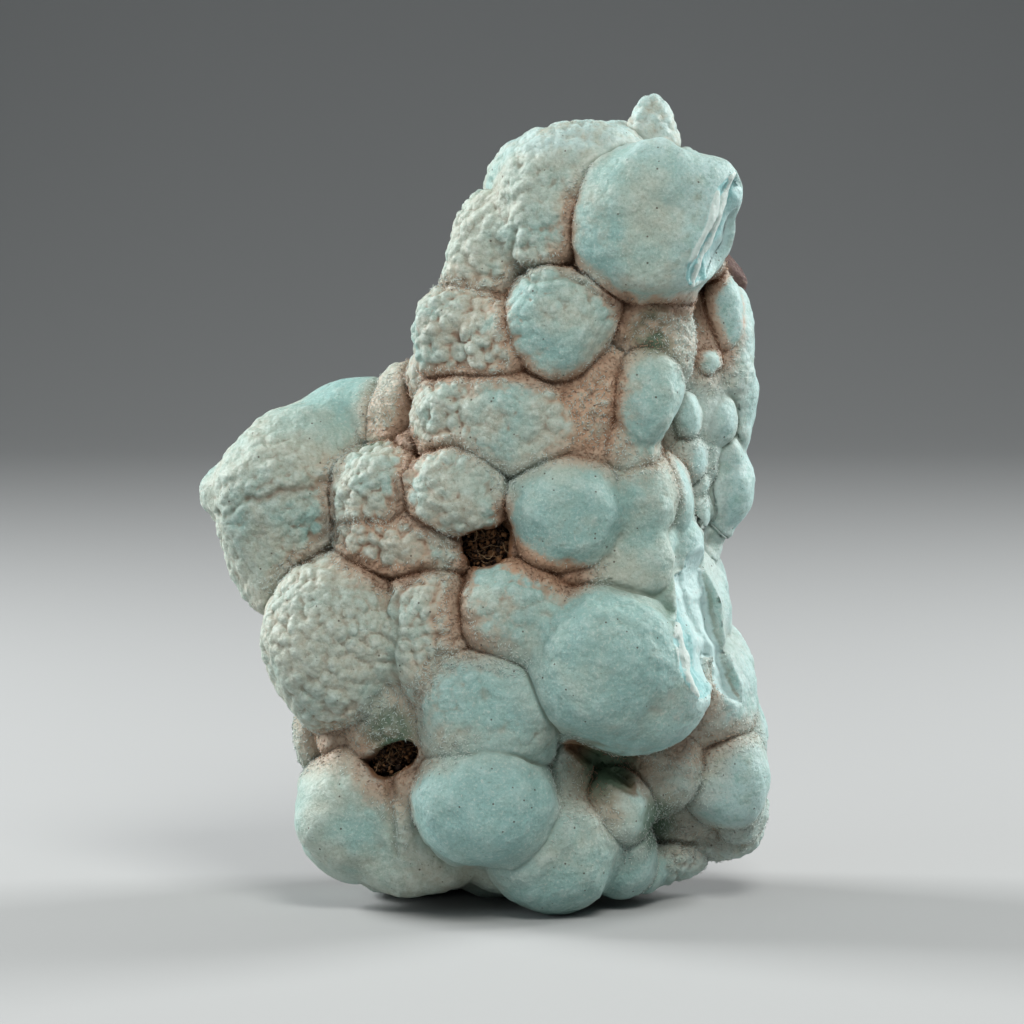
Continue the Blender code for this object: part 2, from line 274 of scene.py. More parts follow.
# %% [markdown]
# ## The light
#
# A small hard light would draw black creases and hide the beads. Area lights are soft, because their size
# sets how blurred the shadows are. One stands above and to the right in front, a weaker one fills from the
# left, and two behind draw a bright edge down both sides.

# %% Place the lights
SURROUND = 0.16  # strength of the even light from all round
SURROUND_COLOUR = (0.9, 0.95, 1.0, 1.0)
LIGHTS = (  # name, place and width in metres, watts, colour
    ("key", (0.14, -0.45, 0.56), 0.25, 3.5, (1.0, 0.985, 0.95)),
    ("fill", (-0.8, -0.5, 0.3), 0.5, 2.2, (0.9, 0.97, 1.0)),
    ("rim_left", (-0.6, 0.25, 0.4), 0.3, 8.0, (1.0, 1.0, 1.0)),
    ("rim_right", (0.65, 0.3, 0.4), 0.3, 7.5, (1.0, 1.0, 1.0)),
)


def make_light(name, place, width, power, colour):
    """A soft square light, placed in metres and aimed at the specimen."""
    data = bpy.data.lights.new(name, "AREA")
    data.size = width
    data.energy = power
    data.color = colour
    light = bpy.data.objects.new(name, data)
    light.location = place
    light.rotation_euler = (Vector(place) - TARGET * MM).to_track_quat("Z", "Y").to_euler()
    bpy.context.scene.collection.objects.link(light)


def make_world():
    """A dim, even, slightly cool light from all round."""
    world = bpy.data.worlds.new("surround")
    world.use_nodes = True
    background = world.node_tree.nodes["Background"]
    background.inputs["Color"].default_value = SURROUND_COLOUR
    background.inputs["Strength"].default_value = SURROUND
    bpy.context.scene.world = world


make_world()
for light in LIGHTS:
    make_light(*light)
bpy.context.scene.view_settings.view_transform = "Standard"
print("lights:", len(LIGHTS))

# %% [markdown]
# ## The lumps
#
# The crust is a heap of lumps. Metaballs could stand for them, but those melt together wherever they are
# near, while real lobes keep a crease. So each lump is a ball stretched to its half sizes, with a face that
# is flatter and sides that are steeper than an ellipsoid's, and a later step decides how two of them meet.
#
# The tables follow the lumps of the solid model, a few of them moved or slimmed by up to two millimetres.
# They give the middle across (x) and up (z), how far forward the face stands (y, smaller is nearer the
# viewer), and the half sizes, all in millimetres. Three more numbers from 0 to 1 give each lump its finish:
# how beaded it is, how blue, and how much crystal grain covers it. Where two more follow, they are its lean
# to the right in degrees and how flat its face is. The first lumps are cores, which fill the inside so that
# no gap is left between the lobes.

# %% List the cores
Lump = namedtuple("Lump", "name x face z wide deep tall beads blue druse lean flat", defaults=(0, 2.5))

CORES = (
    ("core_top", 15.5, -17, 95, 15, 19, 18.5, 0, 0.3, 0.9),
    ("core_middle", 10.5, -19.5, 72, 16, 19, 21, 0, 0.2, 1),
    ("core_waist", 13, -20.5, 53, 15.5, 20, 13, 0, 0.3, 0.9),
    ("core_flank", 24, -7.5, 74, 13.5, 15.5, 24, 0, 0.4, 0.8),
    ("core_boss", 15, -23, 36.5, 15, 22, 15, 0, 0.5, 0.4),
    ("core_chest", -4, -19.5, 34, 20, 20, 22, 0, 0.3, 0.8),
    ("core_belly", 0, -21.5, 17.5, 15, 20, 12, 0, 0.4, 0.6),
    ("core_low", 3, -15, 31, 30, 18, 27, 0, 0.3, 0.8),
    ("core_foot", 0, -14, 13, 25.5, 17, 11.5, 0, 0.4, 0.6),
    ("core_cheek", -19, -15, 38, 12, 16, 15, 0, 0.3, 0.8),
    ("core_arm", -24, -3, 61, 15, 12, 11, 0, 0.3, 0.8),
    ("core_side", 25.5, -20, 42, 11.5, 26, 12, 0, 0.7, 0.4),
    ("core_heel", 31, -4, 14.5, 10.5, 10, 8.5, 0, 0.4, 0.9),
)
print("cores:", len(CORES))

# %% [markdown]
# ## The column
#
# Up the middle runs a column of beaded nodes and smooth balls, with a broken head and a thin spike on top.
# A few large lumps under a bumpy texture would be less to list, but the outline shows each node by itself,
# so each has its own row.

# %% List the column's lumps
COLUMN = (
    ("crown", 12.2, -19, 106.2, 10.5, 9.5, 10.5, 0.6, 0.35, 0.15),
    ("crown_right", 17, -16, 109.8, 7.5, 8, 7.6, 0.3, 0.35, 0.2),
    ("crown_left", 3, -15.5, 99.5, 7.8, 8, 7.8, 0.9, 0.3, 0.2),
    ("crown_foot", 1, -14.5, 94.5, 7.2, 7, 7.2, 1, 0.25, 0.3),
    ("knuckle", 9, -19, 101, 5.9, 5, 5.9, 0.8, 0.4, 0.25),
    ("head", 25.2, -25, 102.4, 11.6, 8, 11.9, 0.1, 0.55, 0.1, 0, 3.4),
    ("head_corner", 32.5, -22.5, 107.3, 6, 7, 5.3, 0, 0.55, 0.05),
    ("head_back", 28, -20, 102, 9.5, 15, 10.5, 0, 0.8, 0),
    ("spike_tip", 25, -1.5, 119.3, 1.4, 1.6, 1.7, 0.6, 0.1, 0.2),
    ("spike", 25, -2.5, 117.5, 2.6, 2.8, 2.8, 0.6, 0.1, 0.2),
    ("spike_base", 24.7, -4, 115, 3.4, 4, 3.4, 0.6, 0.1, 0.3),
    ("spike_root", 24.2, -5, 112.5, 4.5, 5.5, 3.9, 0.4, 0.15, 0.4),
    ("nodes_left", -2.5, -17, 85.5, 8.4, 8, 8.4, 1, 0.3, 0.35),
    ("nodes_middle", 2.5, -20, 84.5, 6.1, 5, 6.1, 1, 0.3, 0.3),
    ("waist_ball", 11, -23, 88, 8.2, 6, 8.2, 0.3, 0.6, 0.1),
    ("pebbled_left", -3, -18, 73.5, 7.7, 7, 7.7, 1, 0.35, 0.2),
    ("pebbled_bridge", 2, -20.5, 73.3, 6, 5, 7, 0.8, 0.4, 0.2),
    ("smooth_middle", 6.5, -22, 73, 7.6, 6, 7.5, 0.5, 0.45, 0.15),
    ("eye", -3.5, -21.5, 63, 7.2, 5.5, 7.1, 0.65, 0.4, 0.25),
    ("pebbled_elbow", -15, -16, 62, 7, 7, 7, 0.9, 0.35, 0.2),
    ("strap_left", -15.5, -16, 55, 5.4, 5.5, 4.9, 0.8, 0.25, 0.35),
    ("strap_middle", -9.5, -18.5, 55, 6, 5.5, 5.5, 0.8, 0.3, 0.35),
    ("strap_right", -5, -17.5, 53.5, 3.8, 4, 3.8, 0.6, 0.3, 0.4),
    ("ball", 12, -25, 60, 8.3, 6.3, 8.2, 0.05, 0.55, 0.1),
    ("column_edge", -8, -10, 79.4, 3.2, 7, 5, 0.5, 0.3, 0.3),
    ("column_joint", -10, -10, 67.5, 3.4, 7, 4, 0.4, 0.3, 0.4),
    ("valley", 16, -19.5, 76.5, 6, 7, 9.5, 0, 0.1, 1),
    ("oval", 24, -21.5, 76.5, 5, 5.5, 6.9, 0.1, 0.6, 0.3, 12),
    ("oval_low", 21.5, -19.5, 69.5, 4.4, 4.5, 4.4, 0.1, 0.4, 0.6),
    ("side_ball", 23, -20.5, 61.5, 5, 5, 6.5, 0.1, 0.5, 0.15),
    ("side_foot", 22, -20.5, 52.5, 5.9, 5, 5.9, 0.1, 0.5, 0.15),
    ("rough_upper", 23, -18.5, 88.5, 5, 5, 5, 0.2, 0.3, 1),
    ("rough_lower", 27, -17, 84.5, 4.6, 6, 6.5, 0.3, 0.4, 0.8),
)
print("lumps of the column:", len(COLUMN))

# %% [markdown]
# ## The flank
#
# Down the right side runs a band of smooth blue lobes, some no more than four millimetres wide. Noise could
# strew such lobes, but not in this order, with the large ones along the edge and the small ones in two rows
# beside it.

# %% List the flank's lumps
FLANK = (
    ("flank_oval", 36.5, -2, 88.5, 2.7, 4, 5.4, 0.05, 0.8, 0.1),
    ("flank_wall", 37.6, 0, 83.5, 3.8, 7, 9, 0.1, 0.6, 0.3),
    ("flank_bead", 33.5, -5.8, 81.5, 1.8, 2, 1.8, 0, 0.7, 0.2),
    ("flank_rough", 35.5, -1.5, 79, 3.6, 3.6, 3.6, 0.5, 0.4, 0.6),
    ("flank_edge_upper", 38.8, 1, 74, 3.3, 6, 6.6, 0.1, 0.8, 0.1),
    ("flank_bean", 35, -4, 72, 2.8, 3.2, 3.3, 0, 0.9, 0),
    ("flank_low", 36.5, -1, 66.5, 3, 3, 3, 0, 0.8, 0.2),
    ("flank_inner_upper", 31, -9.5, 73.5, 1.9, 2.6, 3.3, 0, 0.8, 0.2),
    ("flank_inner_lower", 31, -9, 67.5, 2.8, 3.2, 3.3, 0, 0.9, 0),
    ("flank_pip_upper", 32, -6, 63, 1.8, 2, 1.8, 0, 0.7, 0.2),
    ("flank_pip_lower", 32, -6.3, 59.5, 1.9, 2.4, 2.7, 0, 0.7, 0.2),
    ("flank_edge_lower", 37, -1.5, 62, 4.2, 6, 6.5, 0.1, 0.9, 0.1),
    ("ridge_upper", 28, -14, 62, 3, 4, 5, 0, 0.9, 0),
    ("ridge_lower", 29.5, -12, 54, 3.3, 4, 4.5, 0, 0.9, 0),
    ("ridge_inner", 26, -16.5, 52.5, 2.7, 4.6, 6.5, 0, 0.8, 0.1),
    ("flank_tail", 33, 0, 53, 2.9, 6, 3.3, 0, 0.7, 0.3),
    ("flank_slab", 33, -6, 43.5, 4.5, 6, 5.7, 0, 0.8, 0),
    ("flank_back", 35, 1, 44.5, 2.7, 7, 6.8, 0.1, 0.9, 0.1),
    ("flank_belly", 33.5, -12, 31.5, 7.3, 14, 8.8, 0.1, 0.7, 0.2),
    ("flank_hip", 38, -2, 24.5, 5.2, 8, 5.8, 0.1, 0.7, 0.2),
    ("right_ball", 36.5, -11, 19, 6.6, 6.5, 7.2, 0, 0.65, 0.05),
    ("right_web", 26.5, -13, 21.5, 7.5, 7, 6.6, 0.1, 0.25, 0.7),
)
print("lumps of the flank:", len(FLANK))

# %% [markdown]
# ## The body
#
# The lower half is a mass of broad cushions, with small lobes for feet. One wide lump with dents would do
# for the cushions, but dents have soft edges, and these cushions bulge against each other and leave creases.

# %% List the body's lumps
BODY = (
    ("block", 4.5, -25, 45.3, 8.1, 6.5, 7.9, 0.3, 0.6, 0.15),
    ("boss", 17.5, -30, 38, 11.1, 9, 11.1, 0.2, 0.75, 0.05),
    ("boss_right", 22, -26.5, 35.5, 11.8, 10, 11.8, 0.05, 0.75, 0.2, 12),
    ("chest", 1, -26, 30.5, 10.6, 8, 10.3, 0.35, 0.7, 0.2),
    ("belly", 0, -29.5, 17.5, 10.6, 9, 9.1, 0.05, 0.8, 0.1),
    ("rib", -7.5, -22.5, 41, 7.4, 7, 10.8, 0.65, 0.3, 0.4),
    ("cheek", -21.5, -20.5, 40, 11, 11, 12.5, 0.75, 0.25, 0.3),
    ("cheek_low", -22.5, -16, 36, 8.3, 8.2, 8, 0.25, 0.4, 0.2),
    ("tuck_right", -19, -11, 25.5, 5.7, 5, 4.2, 0.1, 0.2, 0.4),
    ("tuck_left", -25.3, -5.5, 24.8, 3.1, 5, 4.2, 0.1, 0.2, 0.6),
    ("left_foot", -20, -17, 13.8, 8.6, 9, 10, 0.05, 0.5, 0.1),
    ("foot_strip", -11, -18, 11.5, 5, 6, 6.8, 0.1, 0.25, 0.6),
    ("foot_low", -10, -17, 6.7, 9.2, 7, 4.5, 0.1, 0.3, 0.4),
    ("foot_middle", 2.5, -15, 7, 5.1, 6, 4.8, 0.1, 0.4, 0.3),
    ("front_foot", 10.5, -23, 9.2, 9.2, 8.5, 9.4, 0.05, 0.65, 0.3),
    ("notch_rib", 12.5, -18.5, 21.5, 3.3, 5, 5.9, 0.1, 0.4, 0.4),
    ("notch_ball", 19, -18.5, 16, 5.2, 5.5, 5.2, 0, 0.5, 0.1),
    ("toe", 20.5, -14, 7, 5.3, 7, 6, 0, 0.75, 0.1),
    ("toe_right", 23.8, -9, 5, 3.2, 5, 3.8, 0.1, 0.7, 0.2),
    ("heel_left", 27.5, -5.5, 6, 4.2, 6, 3.2, 0.8, 0.3, 0.5),
    ("heel_bead", 31.5, -3, 6, 2, 3, 2, 0.6, 0.4, 0.5),
    ("heel_right", 36.5, -3, 9.5, 5.7, 6, 4.1, 0.9, 0.3, 0.5),
    ("heel_web", 38.3, -6, 13.5, 4.3, 7, 5, 0.4, 0.4, 0.3),
)
print("lumps of the body:", len(BODY))

# %% [markdown]
# ## The shoulder and the rim
#
# An arm of the crust reaches out at the left. All round its outline the crust rolls back until it meets the
# rock. The front lumps alone, cut off at the contact, would leave a flat edge there, so a ring of lumps
# further back closes the crust.

# %% List the shoulder's and the rim's lumps
SHOULDER = (
    ("shoulder", -30, -9, 60.3, 11.3, 12, 12.1, 0.55, 0.35, 0.15),
    ("shoulder_tip", -38.9, -2, 60.7, 4.4, 6, 4.1, 0.3, 0.4, 0.2),
    ("shoulder_crest", -27, -5, 67, 9.3, 11, 7.8, 0.2, 0.45, 0.1),
    ("shoulder_top", -20, -1, 70.2, 9.4, 9, 8.3, 0.05, 0.65, 0.05),
    ("shoulder_inner", -13, -2, 74.8, 3.9, 6, 5.6, 0.05, 0.2, 0.5),
    ("shoulder_low", -29.8, -6.5, 52.5, 8.6, 9, 9.9, 0.7, 0.3, 0.25),
    ("shoulder_toe", -28.5, 0, 45.5, 4.5, 6, 5.5, 0.3, 0.2, 0.4),
    ("armpit", -13, -5.5, 72.5, 4.2, 5, 5.8, 0.05, 0.1, 0.7),
)

RIM = (
    ("rim_crown", 8, -6, 107, 8, 9, 8, 0.5, 0.4, 0.3),
    ("rim_top", 18, -6, 109.5, 8, 9, 7.5, 0.3, 0.4, 0.3),
    ("rim_head", 29, -5, 104, 7.5, 9, 8, 0.3, 0.6, 0.3),
    ("rim_column_upper", 2, -5, 97, 6.5, 9, 7.5, 0.7, 0.3, 0.3),
    ("rim_column_middle", -1.5, -5, 87, 6.5, 9, 7.5, 0.7, 0.4, 0.3),
    ("rim_column_lower", -5, -4, 76, 6.5, 9, 7, 0.5, 0.4, 0.3),
    ("rim_arm", -25, 1, 66, 8.5, 9, 6, 0.3, 0.5, 0.3),
    ("rim_arm_tip", -34, 3, 57.5, 6, 7, 6, 0.4, 0.4, 0.3),
    ("rim_cheek", -25, -4, 42, 6, 10, 7, 0.4, 0.4, 0.3),
    ("rim_tuck", -22.3, -2, 30, 5.2, 10, 6.5, 0.3, 0.3, 0.4),
    ("rim_left_foot", -19.5, -4, 16, 7, 10, 7, 0.2, 0.4, 0.3),
    ("rim_under_left", -13, -5, 6, 8, 9, 6.5, 0.2, 0.4, 0.4),
    ("rim_under_middle", 1, -6, 6.5, 8, 9, 7, 0.2, 0.4, 0.4),
    ("rim_under_right", 14, -5, 6.5, 8, 9, 7, 0.2, 0.4, 0.4),
    ("rim_heel", 27, 0, 9, 7, 9, 6, 0.3, 0.4, 0.5),
    ("rim_hip", 36, 2, 17, 5.5, 8, 6.5, 0.3, 0.5, 0.3),
    ("rim_belly", 35, 3, 33, 6, 8, 8, 0.3, 0.6, 0.3),
    ("rim_flank_lower", 32, 3, 52, 4, 7, 7, 0.2, 0.6, 0.3),
    ("rim_flank_upper", 35.5, 4, 70, 4, 7, 8, 0.3, 0.6, 0.3),
)

LUMPS = [Lump(*row) for row in CORES + COLUMN + FLANK + BODY + SHOULDER + RIM]
print("lumps in all:", len(LUMPS))

# %% [markdown]
# ## Families of lumps
#
# Some neighbouring lumps grew into one lobe, and only soft dips are left between them, no crease. Fewer
# lumps of odder shapes could stand for such lobes. A list of the lumps that belong together is simpler, and
# a later step joins those more softly.

# %% List the families
FAMILIES = (
    ("crown", "crown_right", "crown_left", "crown_foot", "knuckle", "rim_crown", "rim_top",
     "rim_column_upper"),
    ("head", "head_corner", "head_back", "rim_head"),
    ("spike_tip", "spike", "spike_base", "spike_root"),
    ("nodes_left", "nodes_middle", "rim_column_middle"),
    ("pebbled_left", "pebbled_bridge", "smooth_middle", "rim_column_lower"),
    ("strap_left", "strap_middle", "strap_right"),
    ("shoulder", "shoulder_tip", "shoulder_crest", "shoulder_top", "shoulder_low", "shoulder_toe", "rim_arm",
     "rim_arm_tip"),
    ("ball", "side_ball", "side_foot"),
    ("oval", "oval_low"),
    ("valley", "rough_upper", "rough_lower"),
    ("ridge_upper", "ridge_lower", "ridge_inner"),
    ("flank_wall", "flank_rough", "flank_edge_upper", "flank_edge_lower"),
    ("boss", "boss_right", "block"),
    ("cheek", "cheek_low", "rib", "rim_cheek"),
    ("left_foot", "foot_strip", "foot_low", "foot_middle"),
    ("front_foot", "notch_rib", "toe"),
    ("flank_belly", "flank_hip", "right_web", "heel_web", "rim_hip", "rim_belly"),
    ("heel_left", "heel_bead", "heel_right", "toe_right"),
)
FAMILY_OF = {name: family[0] for family in FAMILIES for name in family}
print("families:", len(FAMILIES), "with lumps:", len(FAMILY_OF))

# %% [markdown]
# ## Breaks and pits
#
# Broken faces, pits and the two flat ends follow the solid model too. Boolean modifiers would cut them as
# clean, sharp planes; here they are taken off the same field that the lumps make, so that relief can run
# over them.
#
# A break is a block that was knocked off: a point of the face that it left, the way that face looks, the
# block's half sizes along the face, across it and outward, and how far forward the face starts. The face
# curves outward at both ends, so that it runs out without a ledge. A pit is a leaning egg-shaped hollow.

# %% List the breaks and the pits
Break = namedtuple("Break", "name point normal along across outward front")
Pit = namedtuple("Pit", "name x y z wide deep tall lean")

BREAKS = (
    Break("head_break", (31.8, -23.5, 101), (0.86, -0.42, -0.28), 10.8, 30, 9, -24.5),
    Break("flank_break", (30, -20, 41.5), (0.9, -0.34, 0.28), 14, 13.5, 9, -27),
)
PITS = (
    Pit("upper", 0.8, -14, 54.5, 3.8, 8.5, 3.6, 40),
    Pit("lower", -12.8, -11.5, 24, 2.5, 9, 4.7, 50),
    Pit("crack", 17.6, -18, 22.3, 0.85, 4.6, 6, -55),
)
EARTH_PITS = PITS[:2]
RUN_OUT = 0.08  # how fast a broken face curves outward towards its ends
RUN_OUT_START = 0.55  # where it starts to, as a share of its half length
GAP = 0.3  # millimetres between the crust and the rock
CONTACT_Y = 11.0  # where the plane between them crosses the y axis
CONTACT_NORMAL = np.array((0.05, 1.0, -0.04)) / math.hypot(0.05, 1.0, 0.04)
EARTH_SINK = 3.2  # how far behind a pit's middle its packed earth starts
print("breaks:", len(BREAKS), "pits:", len(PITS))

# %% [markdown]
# ## Noise that is worked out
#
# Natural surfaces need unevenness that looks random but comes out the same each time. Blender's noise
# textures live in shaders and modifiers; a small formula of our own works on whole arrays of points, and
# its numbers can be used in any sum. Space is cut into cubes, and the whole numbers that name a cube are
# mixed into fixed numbers from 0 to 1. Smooth noise blends the numbers of the eight nearest corners.

# %% Work out noise
PRIMES = np.array((73856093, 19349663, 83492791), np.uint32)  # one for each of a cube's whole numbers
SALT_FACTOR = 40503
MIX_FACTORS = (np.uint32(73244475), np.uint32(739982445))  # large odd numbers, which spread the bits


def scatter(cells, salt):
    """Three fixed numbers from 0 to 1 for each cube: its whole numbers times large primes, mixed bit by bit.

    The salt is a whole number that gives each use of the mix its own pattern.
    """
    factors = cells.astype(np.int64).astype(np.uint32) * PRIMES
    mixed = factors[..., 0] ^ factors[..., 1] ^ factors[..., 2] ^ np.uint32(salt * SALT_FACTOR)
    parts = []
    for _ in range(3):
        mixed = (mixed ^ (mixed >> np.uint32(16))) * MIX_FACTORS[0]
        mixed = (mixed ^ (mixed >> np.uint32(15))) * MIX_FACTORS[1]
        parts.append((mixed >> np.uint32(8)) / 2.0**24)
    return np.stack(parts, -1)


def smooth_step(value, low, high):
    """0 below low, 1 above high, and a smooth rise in between."""
    share = np.clip((value - low) / (high - low), 0, 1)
    return share * share * (3 - 2 * share)


def cloud(points, size, salt):
    """Smooth noise from -1 to 1: the numbers of the cube's eight corners, blended by a smooth step."""
    scaled = points / size
    base = np.floor(scaled)
    share = smooth_step(scaled - base, 0, 1)
    total = np.zeros(len(points))
    for corner in np.ndindex(2, 2, 2):
        weight = np.abs(1 - np.array(corner) - share).prod(1)
        total += weight * scatter(base + corner, salt)[:, 0]
    return 2 * total - 1


probe = np.array(((12.0, -30.0, 60.0), (12.0, -24.0, 60.0)))
print("noise at two places:", cloud(probe, 5, 4).round(2))

# %% [markdown]
# ## Beads
#
# The beads are small lobes on the lobes. A cell texture in space would give some, but where one of its
# cells only grazes the surface it shows as a torn half bead. Beads here grow from seeds that lie on the
# surface itself, so that each one is whole: every cube that the surface passes through gives one of its net
# points as a seed. A bead is a round cap over its seed, and where caps overlap the highest one shows, so
# that close seeds make one bead of several lobes.

# %% Grow beads
CAP_REACH = 0.67  # how far the tallest bead reaches, as a share of its cube


def cube_names(cells):
    """One whole number for each cube of a lattice of at most a thousand cubes along each side."""
    c = cells.astype(np.int64) + 500
    return (c[:, 0] * 1000 + c[:, 1]) * 1000 + c[:, 2]


def own_numbers(points, salt):
    """Three fixed numbers from 0 to 1 for each point, mixed from its place in hundredths of a millimetre."""
    return scatter(np.round(points * 100), salt)


def pick_seeds(points, size, salt):
    """The names of the cubes of this size that hold points, and one point of each, picked by lot."""
    names = cube_names(np.floor(points / size))
    lot = own_numbers(points, salt)[:, 0]
    order = np.lexsort((lot, names))
    first = np.ones(len(points), bool)
    first[1:] = names[order][1:] != names[order][:-1]
    return names[order][first], points[order][first]


def bead_relief(points, size, salt):
    """Overlapping round caps from 0 to 1 over the seeds, some taller than others.

    A cap is its seed's height less (distance / reach)^2, and the relief is the highest cap, rounded off.
    """
    names, seeds = pick_seeds(points, size, salt)
    heights = 0.5 + 0.5 * own_numbers(seeds, salt + 50)[:, 1]
    base = np.floor(points / size)
    highest = np.zeros(len(points))
    for corner in np.ndindex(3, 3, 3):
        wanted = cube_names(base + corner - 1)
        at = np.minimum(np.searchsorted(names, wanted), len(names) - 1)
        away = ((points - seeds[at])**2).sum(1) / (CAP_REACH * size) ** 2
        highest = np.maximum(highest, np.where(names[at] == wanted, heights[at] - away, 0))
    return highest**0.7


print("bead height over each place's own seed:", bead_relief(probe, 2.0, 2).round(2))

# %% [markdown]
# ## The crust as a field
#
# The crust could be a Boolean union of balls, but a union's creases are razor sharp and its triangles are
# slivers. A field is gentler: for any point in space, it says how far that point is outside the crust. One
# lump's share is its own stretched distance, divided by that distance's slope so that it comes out in
# millimetres.

# %% Measure one lump
NEAR = 5.0  # a lump is left out of a sum further away than this, in millimetres


def lean_axes(degrees):
    """The rows turn a vector into the axes of a shape that leans to the right."""
    c = math.cos(math.radians(degrees))
    s = math.sin(math.radians(degrees))
    return np.array(((c, 0, -s), (0, 1, 0), (s, 0, c)))


def egg_distance(points, middle, half, lean, flat=2.0):
    """Millimetres outside a stretched ball, and the way out.

    With the point in units of the half sizes, the ball is (r^n + |y|^n)^(1/n) = 1, where r is the distance
    from the y axis and n how flat the face is. That value less one, over its slope, is the distance.
    """
    axes = lean_axes(lean)
    local = (points - middle) @ axes.T / half
    across = np.hypot(local[:, 0], local[:, 2]) + 1e-9
    front = np.abs(local[:, 1]) + 1e-9
    level = (across**flat + front**flat) ** (1 / flat)
    side_share = (across / level) ** (flat - 1) / across
    slope = np.stack((
        side_share * local[:, 0],
        (front / level) ** (flat - 1) * np.sign(local[:, 1]),
        side_share * local[:, 2],
    ), 1) / half
    steep = np.linalg.norm(slope, axis=1) + 1e-9
    return (level - 1) / steep, slope @ axes / steep[:, None]


def lump_box(lump):
    """A lump's middle and its half sizes."""
    middle = np.array((lump.x, lump.face + lump.deep, lump.z))
    return middle, np.array((lump.wide, lump.deep, lump.tall), float)


def lump_distance(points, lump):
    """Millimetres outside one lump, and the way out."""
    middle, half = lump_box(lump)
    return egg_distance(points, middle, half, lump.lean, lump.flat)


def near_lumps(points, reach):
    """The lumps that come near any of the points, each with the numbers of those points."""
    found = []
    for lump in LUMPS:
        middle, half = lump_box(lump)
        close = np.flatnonzero((np.abs(points - middle) < half + reach).all(1))
        if len(close):
            found.append((lump, close))
    return found


near_probe = near_lumps(probe, NEAR)
print("lumps near the two places:", [lump.name for lump, _ in near_probe])

# %% [markdown]
# ## Joining the lumps
#
# A plain minimum would leave every crease as a sharp cut. A soft minimum joins the lumps instead: each adds
# `exp(-distance / soft)` to a sum, and the logarithm turns the sum back into a distance. The mean of the
# lumps' outward directions, weighted in the same way, is as long as 1 where they agree and shorter in a
# crease. What it lacks fills the crease a little, as on the real crust, where the lobes are broad, low
# cushions. Lumps of one family are joined first, and more softly.

# %% Join the lumps
JOIN_SOFT = 0.25  # millimetres over which two lumps blend
FAMILY_SOFT = 0.9  # the same within a family
FILL_SOFT = (2.0, 1.2)  # and over which a crease is filled: on the body and on the column above it
BODY_TOP = (44.0, 56.0)  # heights between which the body gives way to the column
CREASE_FILL = 1.8  # how far a full crease is filled
ALL_IN = 0.5  # the whole crust is drawn in by this much, which the relief adds again


def join_family(points, family):
    """Joins a family softly: the points near it, how far outside it each lies, and the way out."""
    close = np.unique(np.concatenate([part for _, part in family]))
    least = math.exp(-NEAR / FAMILY_SOFT)
    total = np.full(len(close), least)
    out = np.zeros((len(close), 3))
    for lump, part in family:
        at = np.searchsorted(close, part)
        distance, way = lump_distance(points[part], lump)
        share = np.exp(-np.clip(distance, -9, NEAR) / FAMILY_SOFT) - least
        total[at] += share
        out[at] += share[:, None] * way
    out /= np.linalg.norm(out, axis=1)[:, None] + 1e-9
    return close, -FAMILY_SOFT * np.log(total), out


def patches(points):
    """Slow noise that makes the creases fuller in some places than in others."""
    return cloud(points, 8, 31)


def join_lumps(points, pairs):
    """Millimetres outside the joined lumps, the way out, and how much each point lies in a crease.

    The narrow and the wide crease are 0 on an open face and a half where two faces meet square. The wide one
    fills the crease, more in some places than in others, so that some lobes run together.
    """
    families = {}
    for lump, close in pairs:
        families.setdefault(FAMILY_OF.get(lump.name, lump.name), []).append((lump, close))
    soft = FILL_SOFT[0] + (FILL_SOFT[1] - FILL_SOFT[0]) * smooth_step(points[:, 2], *BODY_TOP)
    sharp = np.full(len(points), math.exp(-NEAR / JOIN_SOFT))
    least = np.exp(-NEAR / soft)
    wide = least.copy()
    sharp_out = np.zeros((len(points), 3))
    wide_out = np.zeros((len(points), 3))
    for family in families.values():
        close, distance, out = join_family(points, family)
        sharp_share = np.exp(-distance / JOIN_SOFT)
        wide_share = np.exp(-distance / soft[close]) - least[close]
        sharp[close] += sharp_share
        wide[close] += wide_share
        sharp_out[close] += sharp_share[:, None] * out
        wide_out[close] += wide_share[:, None] * out
    sharp_out /= sharp[:, None]
    wide_out /= wide[:, None]
    narrow_crease = 1 - (sharp_out**2).sum(1)
    wide_crease = 1 - (wide_out**2).sum(1)
    fill = CREASE_FILL * (1 + 0.7 * patches(points))
    value = -JOIN_SOFT * np.log(sharp) - fill * np.clip(wide_crease, 0, 0.8) + ALL_IN
    return value, wide_out, narrow_crease, wide_crease


print("outside the joined lumps, millimetres:", join_lumps(probe, near_probe)[0].round(2))

# %% [markdown]
# ## Taking parts off
#
# A point is outside the crust when it is outside the lumps, or inside a part that is gone. So the breaks,
# the pits, the contact with the rock and the ground are taken off with a maximum. The field's slope comes
# from whichever of the two counts, because later steps move points straight out along it.

# %% Take parts off
def block_axes(spot):
    """The rows are a break's own axes: across it, up along it, and outward."""
    turn = Vector(spot.normal).to_track_quat("Z", "Y").to_matrix()
    return np.array(turn).T


def block_depth(points, spot):
    """How deep inside a break's block each point is, negative outside, and the way in from the nearest side.

    The block's inner face curves outward at both ends, so that the broken face runs out without a ledge.
    """
    axes = block_axes(spot)
    half = np.array((spot.across, spot.along, spot.outward), float)
    middle = np.array(spot.point) + axes[2] * spot.outward
    local = (points - middle) @ axes.T
    local[:, 2] -= RUN_OUT * np.maximum(np.abs(local[:, 1]) - RUN_OUT_START * spot.along, 0) ** 2
    inside = half - np.abs(local)
    nearest = inside.argmin(1)
    rows = np.arange(len(points))
    inward = np.zeros_like(local)
    inward[rows, nearest] = -np.sign(local[rows, nearest])
    return inside[rows, nearest], inward @ axes


def take_off(value, slope, depth, inward):
    """The field after a part is taken off: the larger of the two, with its own slope."""
    taken = depth > value
    return np.where(taken, depth, value), np.where(taken[:, None], inward, slope)


